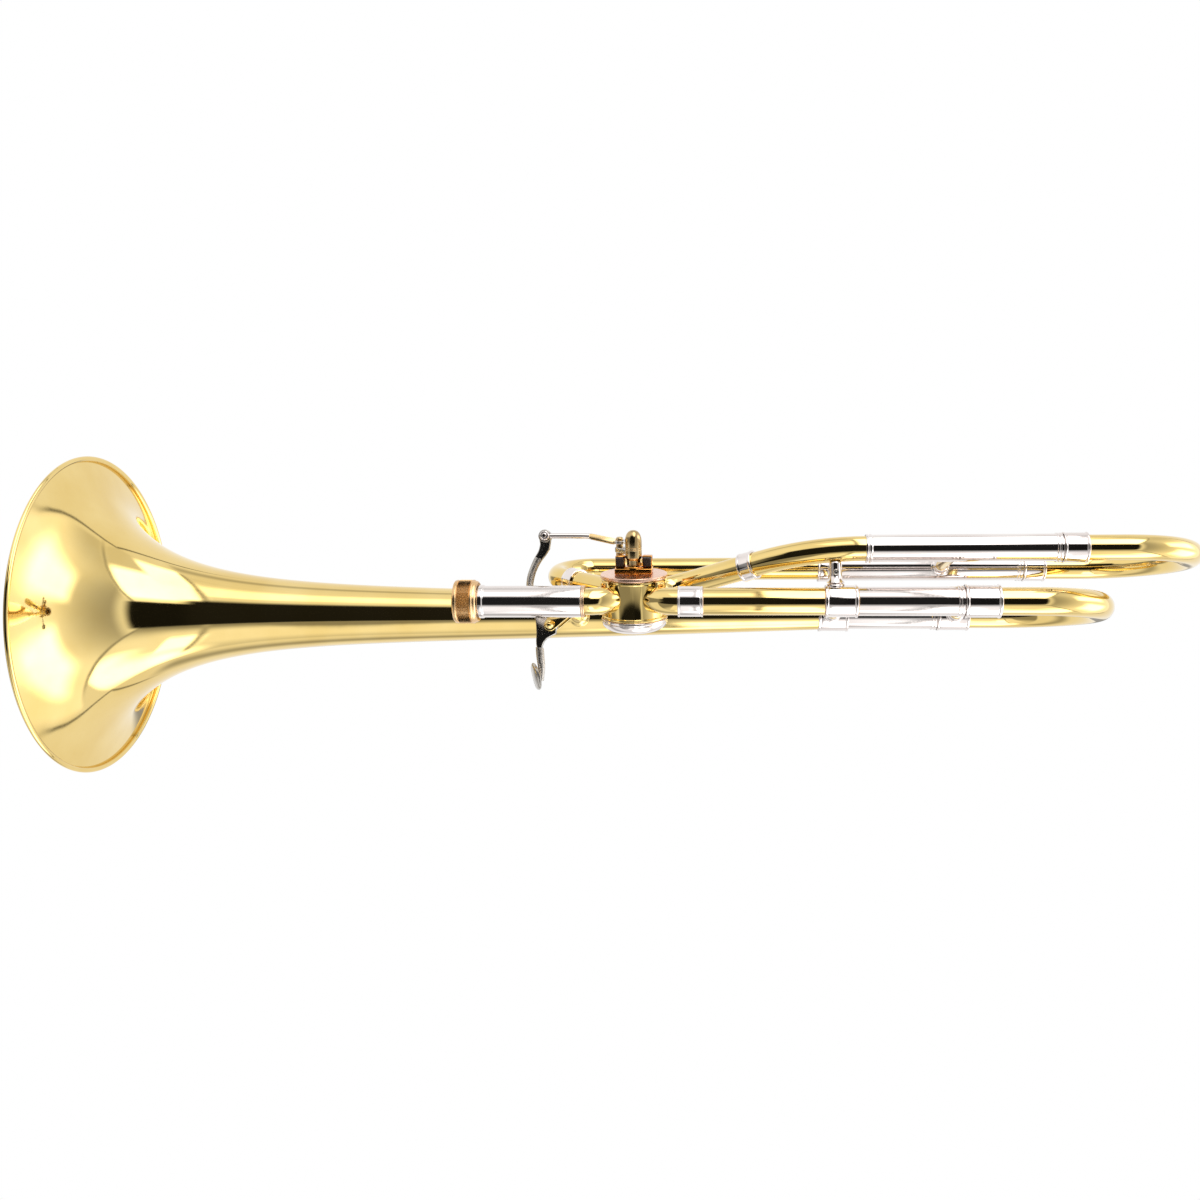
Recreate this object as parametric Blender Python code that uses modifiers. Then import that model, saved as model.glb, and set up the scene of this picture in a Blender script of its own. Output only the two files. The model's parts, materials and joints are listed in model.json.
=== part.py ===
# Bell section of a tenor trombone with a thumb valve.
# X runs from the bell mouth toward the bows, Y away from the viewer, Z up.
# The origin lies on the receiver axis, at the end of the receiver tube that faces the handslide.
import math

import bmesh
import bpy
from mathutils import Euler, Vector

MM = 0.001
GAP = 0.3
SLIDE_GAP = 0.3
SIDES = 12
BELL_SIDES = 36
CASING_SIDES = 24
QUARTER = math.pi / 2

# Layout of the two tube lines
LEG_SPACING = 98.0
VALVE_LEAN = math.radians(17.0)
LOOP_HEIGHT = LEG_SPACING * math.tan(VALVE_LEAN)
BELL_MOUTH_X = -290.0
BELL_TAIL_X = 207.0

# Bell
BELL_DIAMETER = 216.0
BELL_WALL = 0.5
BELL_JOINT_DEPTH = 90.0
THROAT_JOINT_DEPTH = 220.0
BELL_TAIL_RADIUS = 9.3
RIM_WIRE_RADIUS = 0.9
RIM_CURL_RADIUS = RIM_WIRE_RADIUS + GAP + BELL_WALL / 2

# Tubes of the near line
TUBE_WALL = 0.5
NECKPIPE_RADIUS = 7.85
NEAR_OUTER_RADIUS = 8.2
NEAR_LEG_RADIUS = NEAR_OUTER_RADIUS - TUBE_WALL - SLIDE_GAP
NEAR_FERRULE_RADIUS = 9.3
RECEIVER_RADIUS = 9.2
RECEIVER_BORE_FRONT = 8.1
RECEIVER_BORE_BACK = 7.7
RECEIVER_FRONT_X = 0.0
RECEIVER_END_X = 59.6
COLLAR_END_X = 61.8
RECEIVER_NECK_RADIUS = 8.9

# Tubes of the far line
FAR_OUTER_RADIUS = 8.9
FAR_LEG_RADIUS = FAR_OUTER_RADIUS - TUBE_WALL - SLIDE_GAP
BELL_FERRULE_RADIUS = 10.3
FAR_FERRULE_RADIUS = 9.6
FAR_BOW_RADIUS = 8.3

# Tubes of the loop
LOOP_TUBE_RADIUS = 7.1
LOOP_OUTER_RADIUS = 7.8
LOOP_LEG_RADIUS = LOOP_OUTER_RADIUS - TUBE_WALL - SLIDE_GAP
LOOP_FERRULE_RADIUS = 8.4

# Stations along X
FRONT_FERRULE_X = 115.1
NECKPIPE_X = 123.0
FRONT_FERRULE_END_X = 129.3
REAR_FERRULE_X = 198.0
REAR_FERRULE_END_X = 216.0
NEAR_OUTER_START_X = 207.3
OUTER_END_X = 274.2
BELL_FERRULE_X = 200.3
BELL_FERRULE_END_X = 219.0
SLIDE_FERRULE_LENGTH = 19.4
BOW_CENTRE_X = 310.0
LOOP_NEAR_OUTER_X = 220.6
LOOP_OUTER_END_X = 327.4
LOOP_FERRULE_LENGTH = 13.4
LOOP_BOW_CENTRE_X = 361.0
LOOP_FAR_FERRULE_X = 200.0
LOOP_FAR_FERRULE_END_X = 208.0
OUTER_RING_LENGTH = 3.6
OUTER_RING_RAISE = 0.5
SLIDE_LEG_X = 223.0
LOOP_LEG_X = LOOP_NEAR_OUTER_X + 5.4

# Valve, in its own frame: u along X, v away from the viewer, h along the leaning axis
VALVE_X = 88.5
VALVE_Y = 18.0
VALVE_Z = VALVE_Y * math.tan(VALVE_LEAN)
CASING_RADIUS = 19.0
ROTOR_RADIUS = 16.6
CASING_BORE = ROTOR_RADIUS + GAP
CASING_TOP = 10.5
CASING_BOTTOM = -13.0
PLATE_RADIUS = 19.6
PLATE_TOP = 13.0
ROTOR_HALF = 9.2
SPINDLE_RADIUS = 3.6
CAP_BOTTOM = -22.4
PORT_RADIUS = 6.2
KNUCKLE_RADIUS = 17.3
KNUCKLE_ROOT = 17.5
CROOK_RADIUS = 21.7
CROOK_FERRULE_START = 52.0
CROOK_FERRULE_LENGTH = 9.0
RETURN_CORNER = 31.0
RETURN_RADIUS = 18.0
DIAGONAL_SETBACK = 30.6
DIAGONAL_REACH = 31.9
DIAGONAL_FERRULE = 9.0
DIAGONAL_FERRULE_LEAD = 7.3

# Stop arm
HUB_RADIUS = 4.9
HUB_BASE_RADIUS = 4.0
HUB_BASE = 17.9
HUB_SHOULDER = 21.6
HUB_TOP = 38.5
ARM_LENGTH = 12.5
ARM_BOTTOM = 24.0
ARM_TOP = 27.2
EYE_HEIGHT = 30.0
EYE_THICKNESS = 1.6
STUD_RADIUS = 1.3
STUD_HEAD_RADIUS = 2.5
STUD_HEAD = 32.6
STUD_TOP = 34.2
SLOT_HALF_WIDTH = 2.05
SLOT_HALF_LENGTH = 3.5
EYE_WALL = 1.7
LUG_LENGTH = 9.0
LUG_HALF_WIDTH = 1.5
BUMPER_RADIUS = 2.5
BUMPER_U = 8.0
BUMPER_PLATE_TOP = 17.5
BUMPER_TOP = 20.9

# Thumb lever
PIVOT_X = 38.5
PIVOT_Z = -12.3
JOINT_X = 34.6
JOINT_Z = 41.0
LEVER_THICKNESS = 3.0
PIN_RADIUS = 1.6
PIN_BALL_RADIUS = 2.7
CHEEK_THICKNESS = 2.2
SPRING_RADIUS = 3.1
SPRING_WIRE = 0.4
SPRING_PITCH = 1.25
SPRING_TURNS = 3.5
ROD_RADIUS = 1.25

# Braces
BODY_BRACE_X = 47.5
BODY_BRACE_Z = -2.0
BRACE_RADIUS = 3.4
BRACE_FLANGE = 7.0
TAIL_FLANGE = 5.6
TAIL_BRACE_X = 208.4
SLIDE_BRACE_X = 284.4
LOOP_BRACE_X = 276.0
LOOP_POST_X = 206.5


def clear_scene():
    for item in list(bpy.data.objects):
        bpy.data.objects.remove(item, do_unlink=True)


clear_scene()
part_set = bpy.data.collections.new("tenor_trombone_bell_section")
cutter_set = bpy.data.collections.new("cutters")
bpy.context.scene.collection.children.link(part_set)
bpy.context.scene.collection.children.link(cutter_set)


def surface(name, colour, roughness, metallic=1.0):
    made = bpy.data.materials.new(name)
    made.use_nodes = True
    shader = made.node_tree.nodes["Principled BSDF"]
    shader.inputs["Base Color"].default_value = (*colour, 1.0)
    shader.inputs["Roughness"].default_value = roughness
    shader.inputs["Metallic"].default_value = metallic
    return made


BRASS = (0.78, 0.60, 0.24)
NICKEL = (0.80, 0.77, 0.74)
BRONZE = (0.62, 0.36, 0.16)
COPPER = (0.78, 0.45, 0.33)
CHAMPAGNE = (0.62, 0.50, 0.34)
STEEL = (0.55, 0.54, 0.52)
RUBBER = (0.02, 0.018, 0.018)


def place(item, location, rotation, is_cutter):
    item.location = Vector(location) * MM
    item.rotation_euler = Euler(rotation)
    if is_cutter:
        cutter_set.objects.link(item)
        item.hide_render = True
        item.display_type = "WIRE"
    else:
        part_set.objects.link(item)
    return item


def paint(item, colour, roughness=0.15, metallic=1.0):
    item.data.materials.clear()
    item.data.materials.append(surface(item.name + "_finish", colour, roughness, metallic))
    return item


def turned(name, profile, location, rotation=(0.0, QUARTER, 0.0), sides=SIDES, is_cutter=False):
    # A closed loop of (radius, height) points, or an open one that starts and ends on the axis.
    mesh = bpy.data.meshes.new(name)
    points = [(radius * MM, 0.0, height * MM) for radius, height in profile]
    edges = [(i, i + 1) for i in range(len(points) - 1)]
    if profile[0][0] > 0.0:
        edges.append((len(points) - 1, 0))
    mesh.from_pydata(points, edges, [])
    item = place(bpy.data.objects.new(name, mesh), location, rotation, is_cutter)
    screw = item.modifiers.new("turn", "SCREW")
    screw.angle = 2.0 * math.pi
    screw.steps = sides
    screw.render_steps = sides
    screw.use_merge_vertices = True
    screw.merge_threshold = 0.00001
    screw.use_smooth_shade = True
    return item


def sleeve(name, start, end, outer, inner, y=0.0, z=0.0, sides=SIDES):
    # A plain tube along X with both edges lightly broken.
    length = end - start
    edge = 0.2
    profile = [
        (outer - edge, length),
        (outer, length - edge),
        (outer, edge),
        (outer - edge, 0.0),
        (inner, 0.0),
        (inner, length),
    ]
    return turned(name, profile, (start, y, z), sides=sides)


def boolean(item, cutter, operation="DIFFERENCE"):
    step = item.modifiers.new(operation.lower() + "_" + cutter.name, "BOOLEAN")
    step.operation = operation
    step.solver = "EXACT"
    step.object = cutter
    return item


def rounded_path(corners, radii, step_degrees=11.25):
    # Straight runs joined by arcs of the given radii at the inner corners.
    corners = [Vector(corner) for corner in corners]
    path = [corners[0]]
    for i, radius in enumerate(radii):
        corner = corners[i + 1]
        inward = (corner - corners[i]).normalized()
        outward = (corners[i + 2] - corner).normalized()
        bend = inward.angle(outward)
        reach = radius * math.tan(bend / 2.0)
        start = corner - inward * reach
        centre_way = (outward - inward).normalized()
        centre = corner + centre_way * (radius / math.cos(bend / 2.0))
        arm = start - centre
        steps = max(2, round(math.degrees(bend) / step_degrees))
        for j in range(steps + 1):
            turn = bend * j / steps
            path.append(centre + arm * math.cos(turn) + inward * (radius * math.sin(turn)))
    path.append(corners[-1])
    return path


def swept(name, path, radius, end_radius=None, sides=SIDES, capped=False, is_cutter=False):
    # A round tube surface along a path, turned into a mesh so that it can be shelled and cut.
    data = bpy.data.curves.new(name + "_path", "CURVE")
    data.dimensions = "3D"
    data.bevel_depth = MM
    data.bevel_resolution = (sides - 4) // 2
    data.use_fill_caps = capped
    data.twist_mode = "MINIMUM"
    spline = data.splines.new("POLY")
    spline.points.add(len(path) - 1)
    end_radius = radius if end_radius is None else end_radius
    travelled = [0.0]
    for before, after in zip(path, path[1:]):
        travelled.append(travelled[-1] + (Vector(after) - Vector(before)).length)
    for point, spot, distance in zip(spline.points, path, travelled):
        share = distance / travelled[-1]
        point.co = (spot[0] * MM, spot[1] * MM, spot[2] * MM, 1.0)
        point.radius = radius + (end_radius - radius) * share
    guide = bpy.data.objects.new(name + "_guide", data)
    part_set.objects.link(guide)
    bpy.context.view_layer.update()
    graph = bpy.context.evaluated_depsgraph_get()
    mesh = bpy.data.meshes.new_from_object(guide.evaluated_get(graph))
    bpy.data.objects.remove(guide, do_unlink=True)
    work = bmesh.new()
    work.from_mesh(mesh)
    bmesh.ops.remove_doubles(work, verts=work.verts, dist=0.000001)
    bmesh.ops.recalc_face_normals(work, faces=work.faces)
    for face in work.faces:
        face.smooth = True
    work.to_mesh(mesh)
    work.free()
    mesh.name = name
    return place(bpy.data.objects.new(name, mesh), (0.0, 0.0, 0.0), (0.0, 0.0, 0.0), is_cutter)


def shell(item, wall=TUBE_WALL):
    # The open tube surface grows inward by one wall, with both ends closed by a rim.
    step = item.modifiers.new("wall", "SOLIDIFY")
    step.thickness = wall * MM
    step.offset = -1.0
    step.use_rim = True
    step.use_even_offset = True
    return item


def plate(name, outlines, thickness, location, rotation, is_cutter=False):
    # A flat plate from closed outlines in its own XY plane; later outlines are holes.
    data = bpy.data.curves.new(name, "CURVE")
    data.dimensions = "2D"
    data.fill_mode = "BOTH"
    data.extrude = thickness * MM / 2.0
    for outline in outlines:
        spline = data.splines.new("POLY")
        spline.points.add(len(outline) - 1)
        for point, (x, y) in zip(spline.points, outline):
            point.co = (x * MM, y * MM, 0.0, 1.0)
        spline.use_cyclic_u = True
    guide = bpy.data.objects.new(name + "_guide", data)
    part_set.objects.link(guide)
    bpy.context.view_layer.update()
    graph = bpy.context.evaluated_depsgraph_get()
    mesh = bpy.data.meshes.new_from_object(guide.evaluated_get(graph))
    bpy.data.objects.remove(guide, do_unlink=True)
    work = bmesh.new()
    work.from_mesh(mesh)
    bmesh.ops.remove_doubles(work, verts=work.verts, dist=0.000001)
    bmesh.ops.recalc_face_normals(work, faces=work.faces)
    work.to_mesh(mesh)
    work.free()
    mesh.name = name
    return place(bpy.data.objects.new(name, mesh), location, rotation, is_cutter)


def ring_points(radius, centre=(0.0, 0.0), count=16, phase=0.0):
    return [
        (
            centre[0] + radius * math.cos(phase + 2.0 * math.pi * i / count),
            centre[1] + radius * math.sin(phase + 2.0 * math.pi * i / count),
        )
        for i in range(count)
    ]


def block(name, size, location, rotation=(0.0, 0.0, 0.0), is_cutter=False):
    bpy.ops.mesh.primitive_cube_add(size=1.0)
    item = bpy.context.object
    item.name = name
    item.data.name = name
    for point in item.data.vertices:
        point.co = Vector((point.co.x * size[0], point.co.y * size[1], point.co.z * size[2])) * MM
    for owner in list(item.users_collection):
        owner.objects.unlink(item)
    return place(item, location, rotation, is_cutter)


# Valve frame
LEAN_TURN = (VALVE_LEAN, 0.0, 0.0)


def valve_point(u, v, h):
    return (
        VALVE_X + u,
        VALVE_Y + v * math.cos(VALVE_LEAN) - h * math.sin(VALVE_LEAN),
        VALVE_Z + v * math.sin(VALVE_LEAN) + h * math.cos(VALVE_LEAN),
    )


DIAGONAL = math.sqrt(0.5)


# Depth from the mouth and radius of the bell sheet, for a bell of the nominal diameter
NOMINAL_BELL = 216.0
BELL_STATIONS = [
    (0.6, 105.9), (2.2, 100.6), (5.2, 92.5), (10.5, 81.2), (18.5, 69.4), (29.0, 58.6),
    (44.0, 48.6), (66.0, 38.5), (90.0, 30.7), (118.0, 25.3), (160.0, 21.5),
    (225.0, 18.2), (320.0, 14.9), (430.0, 11.5),
]
TAIL_STRAIGHT = 10.0
CURL_STEPS = 5


def bell_sheet():
    # Middle line of the sheet from the tail to the mouth, then the curl round the rim wire.
    grow = BELL_DIAMETER / NOMINAL_BELL
    length = BELL_TAIL_X - BELL_MOUTH_X
    tail = BELL_TAIL_RADIUS - BELL_WALL / 2.0
    line = [(tail, length), (tail, length - TAIL_STRAIGHT)]
    line += [(radius * grow, depth) for depth, radius in reversed(BELL_STATIONS)]
    last_radius, last_depth = line[-1]
    before_radius, before_depth = line[-2]
    slope = math.atan2(last_depth - before_depth, last_radius - before_radius)
    centre = (
        last_radius + RIM_CURL_RADIUS * math.cos(slope + QUARTER),
        last_depth + RIM_CURL_RADIUS * math.sin(slope + QUARTER),
    )
    for i in range(1, CURL_STEPS + 1):
        turn = slope - QUARTER + math.radians(288.0 * i / CURL_STEPS)
        line.append(
            (
                centre[0] + RIM_CURL_RADIUS * math.cos(turn),
                centre[1] + RIM_CURL_RADIUS * math.sin(turn),
            )
        )
    return line, centre


def thickened(line, wall):
    # A closed loop round a sheet whose middle follows the line.
    outer = []
    inner = []
    for i, (x, y) in enumerate(line):
        before = line[max(0, i - 1)]
        after = line[min(len(line) - 1, i + 1)]
        way = Vector((after[0] - before[0], after[1] - before[1])).normalized()
        side = Vector((-way.y, way.x)) * (wall / 2.0)
        outer.append((x + side.x, y + side.y))
        inner.append((x - side.x, y - side.y))
    return outer + inner[::-1]


def bell_radius_at(x):
    # Radius of the middle of the sheet at a place on the bell's stem.
    depth = x - BELL_MOUTH_X
    for (radius, far), (next_radius, near) in zip(sheet, sheet[1:]):
        if near <= depth <= far:
            return radius + (next_radius - radius) * (far - depth) / (far - near)
    return BELL_TAIL_RADIUS


sheet, curl_centre = bell_sheet()
bell_spot = (BELL_MOUTH_X, LEG_SPACING, 0.0)


def bell_part(name, far_depth, near_depth):
    # One length of the bell, from the depth nearer the tail to the depth nearer the mouth.
    line = [(bell_radius_at(BELL_MOUTH_X + far_depth), far_depth)]
    line += [point for point in sheet if near_depth < point[1] < far_depth]
    if near_depth > 0.0:
        line.append((bell_radius_at(BELL_MOUTH_X + near_depth), near_depth))
    item = turned(name, thickened(line, BELL_WALL), bell_spot, sides=BELL_SIDES)
    paint(item, BRASS, 0.12)
    return item


# The bell is spun in three parts, the stem, the throat and the flare.
bell_part("bell_stem", BELL_TAIL_X - BELL_MOUTH_X, THROAT_JOINT_DEPTH)
bell_part("bell_throat", THROAT_JOINT_DEPTH - GAP, BELL_JOINT_DEPTH)
bell_part("bell_flare", BELL_JOINT_DEPTH - GAP, -RIM_CURL_RADIUS)
wire_loop = ring_points(RIM_WIRE_RADIUS, curl_centre, 5)
rim_wire = turned("bell_rim_wire", wire_loop[::-1], bell_spot, sides=BELL_SIDES)
paint(rim_wire, BRASS, 0.3)


def ferrule(name, start, end, outer, first_bore, second_bore, split, y=0.0, z=0.0):
    # A sleeve over the joint of two tubes, with a raised bead at each end.
    length = end - start
    bead = 0.45
    width = 1.8
    profile = [
        (outer + bead, length),
        (outer + bead, length - width),
        (outer, length - width - 0.4),
        (outer, width + 0.4),
        (outer + bead, width),
        (outer + bead, 0.0),
        (first_bore, 0.0),
        (first_bore, split - start),
        (second_bore, split - start),
        (second_bore, length),
    ]
    if abs(first_bore - second_bore) < 0.001:
        profile = profile[:7] + profile[9:]
    return turned(name, profile, (start, y, z))


def outer_slide(name, start, end, radius, y, z, socket=0.0):
    # Outer tube of a slide with a ring at its open end and, where asked, a socket at its start.
    length = end - start
    ring = length - OUTER_RING_LENGTH
    profile = [
        (radius + OUTER_RING_RAISE, length),
        (radius + OUTER_RING_RAISE, ring + 0.3),
        (radius, ring),
    ]
    bore = radius - TUBE_WALL
    if socket > 0.0:
        profile += [
            (radius, socket + 0.4),
            (radius + OUTER_RING_RAISE, socket),
            (radius + OUTER_RING_RAISE, 0.0),
            (LOOP_TUBE_RADIUS + GAP, 0.0),
            (LOOP_TUBE_RADIUS + GAP, socket - 0.4),
            (bore, socket - 0.4),
        ]
    else:
        profile += [(radius, 0.0), (bore, 0.0)]
    profile.append((bore, length))
    return turned(name, profile, (start, y, z))


# Receiver and its nut
FLANGE_RADIUS = 10.6
FLANGE_X = -8.0
FLANGE_LENGTH = 2.2
NUT_FRONT_X = -14.3
NUT_BACK_X = -0.6
NUT_RADIUS = 12.9
KNURL_START_X = -11.7
KNURL_END_X = -4.2
KNURL_TEETH = 24
KNURL_DEPTH = 0.45
RECEIVER_LIP = 2.9
receiver_length = RECEIVER_END_X - RECEIVER_FRONT_X
flange_back = FLANGE_X + FLANGE_LENGTH - RECEIVER_FRONT_X
flange_front = FLANGE_X - RECEIVER_FRONT_X
receiver = turned(
    "slide_receiver",
    [
        (RECEIVER_RADIUS, receiver_length),
        (RECEIVER_RADIUS, RECEIVER_LIP + 0.4),
        (RECEIVER_RADIUS + 0.5, RECEIVER_LIP),
        (RECEIVER_RADIUS + 0.5, 0.0),
        (RECEIVER_NECK_RADIUS, 0.0),
        (RECEIVER_NECK_RADIUS, flange_back),
        (FLANGE_RADIUS, flange_back),
        (FLANGE_RADIUS, flange_front),
        (RECEIVER_BORE_FRONT, flange_front),
        (RECEIVER_BORE_BACK, receiver_length),
    ],
    (RECEIVER_FRONT_X, 0.0, 0.0),
)
paint(receiver, NICKEL, 0.12)

nut_length = NUT_BACK_X - NUT_FRONT_X
nut_bore = FLANGE_RADIUS + 2.0 * GAP
nut_neck = RECEIVER_NECK_RADIUS + GAP + 0.05
knurl_back = KNURL_END_X - NUT_FRONT_X
knurl_front = KNURL_START_X - NUT_FRONT_X
nut_shelf = FLANGE_X + FLANGE_LENGTH + GAP - NUT_FRONT_X
nut = turned(
    "slide_nut",
    [
        (NUT_RADIUS - 1.4, nut_length),
        (NUT_RADIUS - 0.2, nut_length - 1.0),
        (NUT_RADIUS - 0.2, knurl_back + 0.8),
        (NUT_RADIUS - 0.9, knurl_back + 0.3),
        (NUT_RADIUS - 0.9, knurl_front - 0.3),
        (NUT_RADIUS - 0.2, knurl_front - 0.8),
        (NUT_RADIUS - 0.8, 0.0),
        (nut_bore, 0.0),
        (nut_bore, nut_shelf),
        (nut_neck, nut_shelf),
        (nut_neck, nut_length),
    ],
    (NUT_FRONT_X, 0.0, 0.0),
    sides=KNURL_TEETH,
)
knurl_outline = []
for i in range(KNURL_TEETH * 2):
    tooth = NUT_RADIUS - KNURL_DEPTH * (i % 2)
    turn = math.pi * i / KNURL_TEETH
    knurl_outline.append((tooth * math.cos(turn), tooth * math.sin(turn)))
knurl_band = plate(
    "nut_knurl_band",
    [knurl_outline, ring_points(NUT_RADIUS - 1.3, count=KNURL_TEETH)],
    knurl_back - knurl_front,
    ((KNURL_START_X + KNURL_END_X) / 2.0, 0.0, 0.0),
    (0.0, QUARTER, 0.0),
    is_cutter=True,
)
boolean(nut, knurl_band, "UNION")
paint(nut, BRONZE, 0.22)

collar_start = RECEIVER_END_X + GAP
collar_length = COLLAR_END_X - collar_start
collar = turned(
    "receiver_collar",
    [
        (RECEIVER_RADIUS - 0.1, collar_length),
        (RECEIVER_RADIUS + 0.15, collar_length - 0.4),
        (RECEIVER_RADIUS + 0.15, 0.4),
        (RECEIVER_RADIUS - 0.1, 0.0),
        (NECKPIPE_RADIUS - TUBE_WALL, 0.0),
        (NECKPIPE_RADIUS - TUBE_WALL, collar_length),
    ],
    (collar_start, 0.0, 0.0),
)
paint(collar, BRONZE, 0.2)

# Near line
neckpipe_bore = NECKPIPE_RADIUS - TUBE_WALL
neckpipe_end = NEAR_OUTER_START_X - GAP
neckpipe = sleeve("neckpipe", NECKPIPE_X, neckpipe_end, NECKPIPE_RADIUS, neckpipe_bore)
paint(neckpipe, BRASS, 0.12)
front_ferrule = ferrule(
    "neckpipe_ferrule_front",
    FRONT_FERRULE_X,
    FRONT_FERRULE_END_X,
    NEAR_FERRULE_RADIUS - 0.6,
    NECKPIPE_RADIUS + GAP,
    NECKPIPE_RADIUS + GAP,
    NECKPIPE_X,
)
paint(front_ferrule, NICKEL, 0.14)
rear_ferrule_radius = NEAR_FERRULE_RADIUS - 0.3
rear_ferrule = ferrule(
    "neckpipe_ferrule_rear",
    REAR_FERRULE_X,
    REAR_FERRULE_END_X,
    rear_ferrule_radius,
    NECKPIPE_RADIUS + GAP,
    NEAR_OUTER_RADIUS + GAP,
    NEAR_OUTER_START_X - GAP / 2.0,
)
paint(rear_ferrule, NICKEL, 0.14)
near_outer = outer_slide(
    "main_outer_near", NEAR_OUTER_START_X, OUTER_END_X, NEAR_OUTER_RADIUS, 0.0, 0.0
)
paint(near_outer, NICKEL, 0.1)

# Far line
bell_ferrule = ferrule(
    "bell_ferrule",
    BELL_FERRULE_X,
    BELL_FERRULE_END_X,
    BELL_FERRULE_RADIUS,
    BELL_TAIL_RADIUS + GAP,
    FAR_OUTER_RADIUS + GAP,
    BELL_TAIL_X,
    LEG_SPACING,
)
paint(bell_ferrule, NICKEL, 0.14)
far_outer = outer_slide(
    "main_outer_far", BELL_TAIL_X + GAP, OUTER_END_X, FAR_OUTER_RADIUS, LEG_SPACING, 0.0
)
paint(far_outer, NICKEL, 0.1)

# Main tuning slide
BOW_START_X = 281.0
slide_start = OUTER_END_X + GAP
slide_ferrule_end = slide_start + SLIDE_FERRULE_LENGTH
slide_ferrule_radius = NEAR_FERRULE_RADIUS - 0.2
bow_radius = LEG_SPACING / 2.0
leg_end = BOW_START_X - GAP
near_leg_bore = NEAR_LEG_RADIUS - TUBE_WALL
far_leg_bore = FAR_LEG_RADIUS - TUBE_WALL
near_leg = sleeve("main_leg_near", SLIDE_LEG_X, leg_end, NEAR_LEG_RADIUS, near_leg_bore)
paint(near_leg, NICKEL, 0.08)
far_leg = sleeve(
    "main_leg_far", SLIDE_LEG_X, leg_end, FAR_LEG_RADIUS, far_leg_bore, LEG_SPACING
)
paint(far_leg, NICKEL, 0.08)
near_slide_ferrule = ferrule(
    "main_ferrule_near",
    slide_start,
    slide_ferrule_end,
    slide_ferrule_radius,
    NEAR_LEG_RADIUS + GAP,
    NECKPIPE_RADIUS + GAP,
    BOW_START_X - GAP / 2.0,
)
paint(near_slide_ferrule, NICKEL, 0.14)
far_slide_ferrule = ferrule(
    "main_ferrule_far",
    slide_start,
    slide_ferrule_end,
    FAR_FERRULE_RADIUS,
    FAR_LEG_RADIUS + GAP,
    FAR_BOW_RADIUS + GAP,
    BOW_START_X - GAP / 2.0,
    LEG_SPACING,
)
paint(far_slide_ferrule, NICKEL, 0.14)
bow_tip = BOW_CENTRE_X + bow_radius
main_bow_path = rounded_path(
    [
        (BOW_START_X, 0.0, 0.0),
        (bow_tip, 0.0, 0.0),
        (bow_tip, LEG_SPACING, 0.0),
        (BOW_START_X, LEG_SPACING, 0.0),
    ],
    [bow_radius, bow_radius],
)
main_bow = shell(swept("main_bow", main_bow_path, NECKPIPE_RADIUS, FAR_BOW_RADIUS))
paint(main_bow, BRASS, 0.12)


def saddle_cut(item, name, location, radius, rotation=(0.0, QUARTER, 0.0)):
    # The cutter's flat sides stay outside the round tube.
    sides = SIDES * 2
    reach = radius / math.cos(math.pi / sides)
    profile = [(0.0, 20.0), (reach, 20.0), (reach, -20.0), (0.0, -20.0)]
    cutter = turned(name, profile, location, rotation, sides=sides, is_cutter=True)
    return boolean(item, cutter)


def stay(name, location, rotation, length, radius, flange):
    # A turned stay with a broad foot at each end, standing along its own Z.
    foot = 4.4
    neck = 7.0
    profile = [
        (0.0, length),
        (flange, length),
        (flange, length - foot),
        (radius + 1.2, length - foot - 0.8),
        (radius, length - neck),
        (radius, neck),
        (radius + 1.2, foot + 0.8),
        (flange, foot),
        (flange, 0.0),
        (0.0, 0.0),
    ]
    return turned(name, profile, location, rotation, sides=SIDES)


def cross_stay(name, x, z, axis_z, near_radius, far_radius, radius, flange):
    # A stay along Y between the two tube lines, saddled onto both.
    near_cut = near_radius + GAP
    far_cut = far_radius + GAP
    start = math.sqrt(near_cut**2 - flange**2) - 0.3
    end = LEG_SPACING - math.sqrt(far_cut**2 - flange**2) + 0.3
    item = stay(name, (x, start, z), (-QUARTER, 0.0, 0.0), end - start, radius, flange)
    saddle_cut(item, name + "_near_cut", (x, 0.0, axis_z), near_cut)
    saddle_cut(item, name + "_far_cut", (x, LEG_SPACING, axis_z), far_cut)
    return item


bell_stem_radius = bell_radius_at(BODY_BRACE_X - BRACE_FLANGE) + BELL_WALL / 2.0
body_brace = cross_stay(
    "body_brace",
    BODY_BRACE_X,
    BODY_BRACE_Z,
    0.0,
    RECEIVER_RADIUS,
    bell_stem_radius,
    BRACE_RADIUS,
    BRACE_FLANGE,
)
paint(body_brace, BRASS, 0.15)
tail_brace = cross_stay(
    "tail_brace",
    TAIL_BRACE_X,
    0.0,
    0.0,
    rear_ferrule_radius,
    BELL_FERRULE_RADIUS,
    BRACE_RADIUS,
    TAIL_FLANGE,
)
paint(tail_brace, BRASS, 0.15)
slide_brace = cross_stay(
    "main_slide_brace",
    SLIDE_BRACE_X,
    0.0,
    0.0,
    slide_ferrule_radius,
    FAR_FERRULE_RADIUS,
    BRACE_RADIUS,
    TAIL_FLANGE,
)
paint(slide_brace, BRASS, 0.15)
loop_brace = cross_stay(
    "loop_cross_brace",
    LOOP_BRACE_X,
    LOOP_HEIGHT,
    LOOP_HEIGHT,
    LOOP_OUTER_RADIUS,
    LOOP_OUTER_RADIUS,
    BRACE_RADIUS - 0.6,
    TAIL_FLANGE,
)
paint(loop_brace, BRASS, 0.15)

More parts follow.
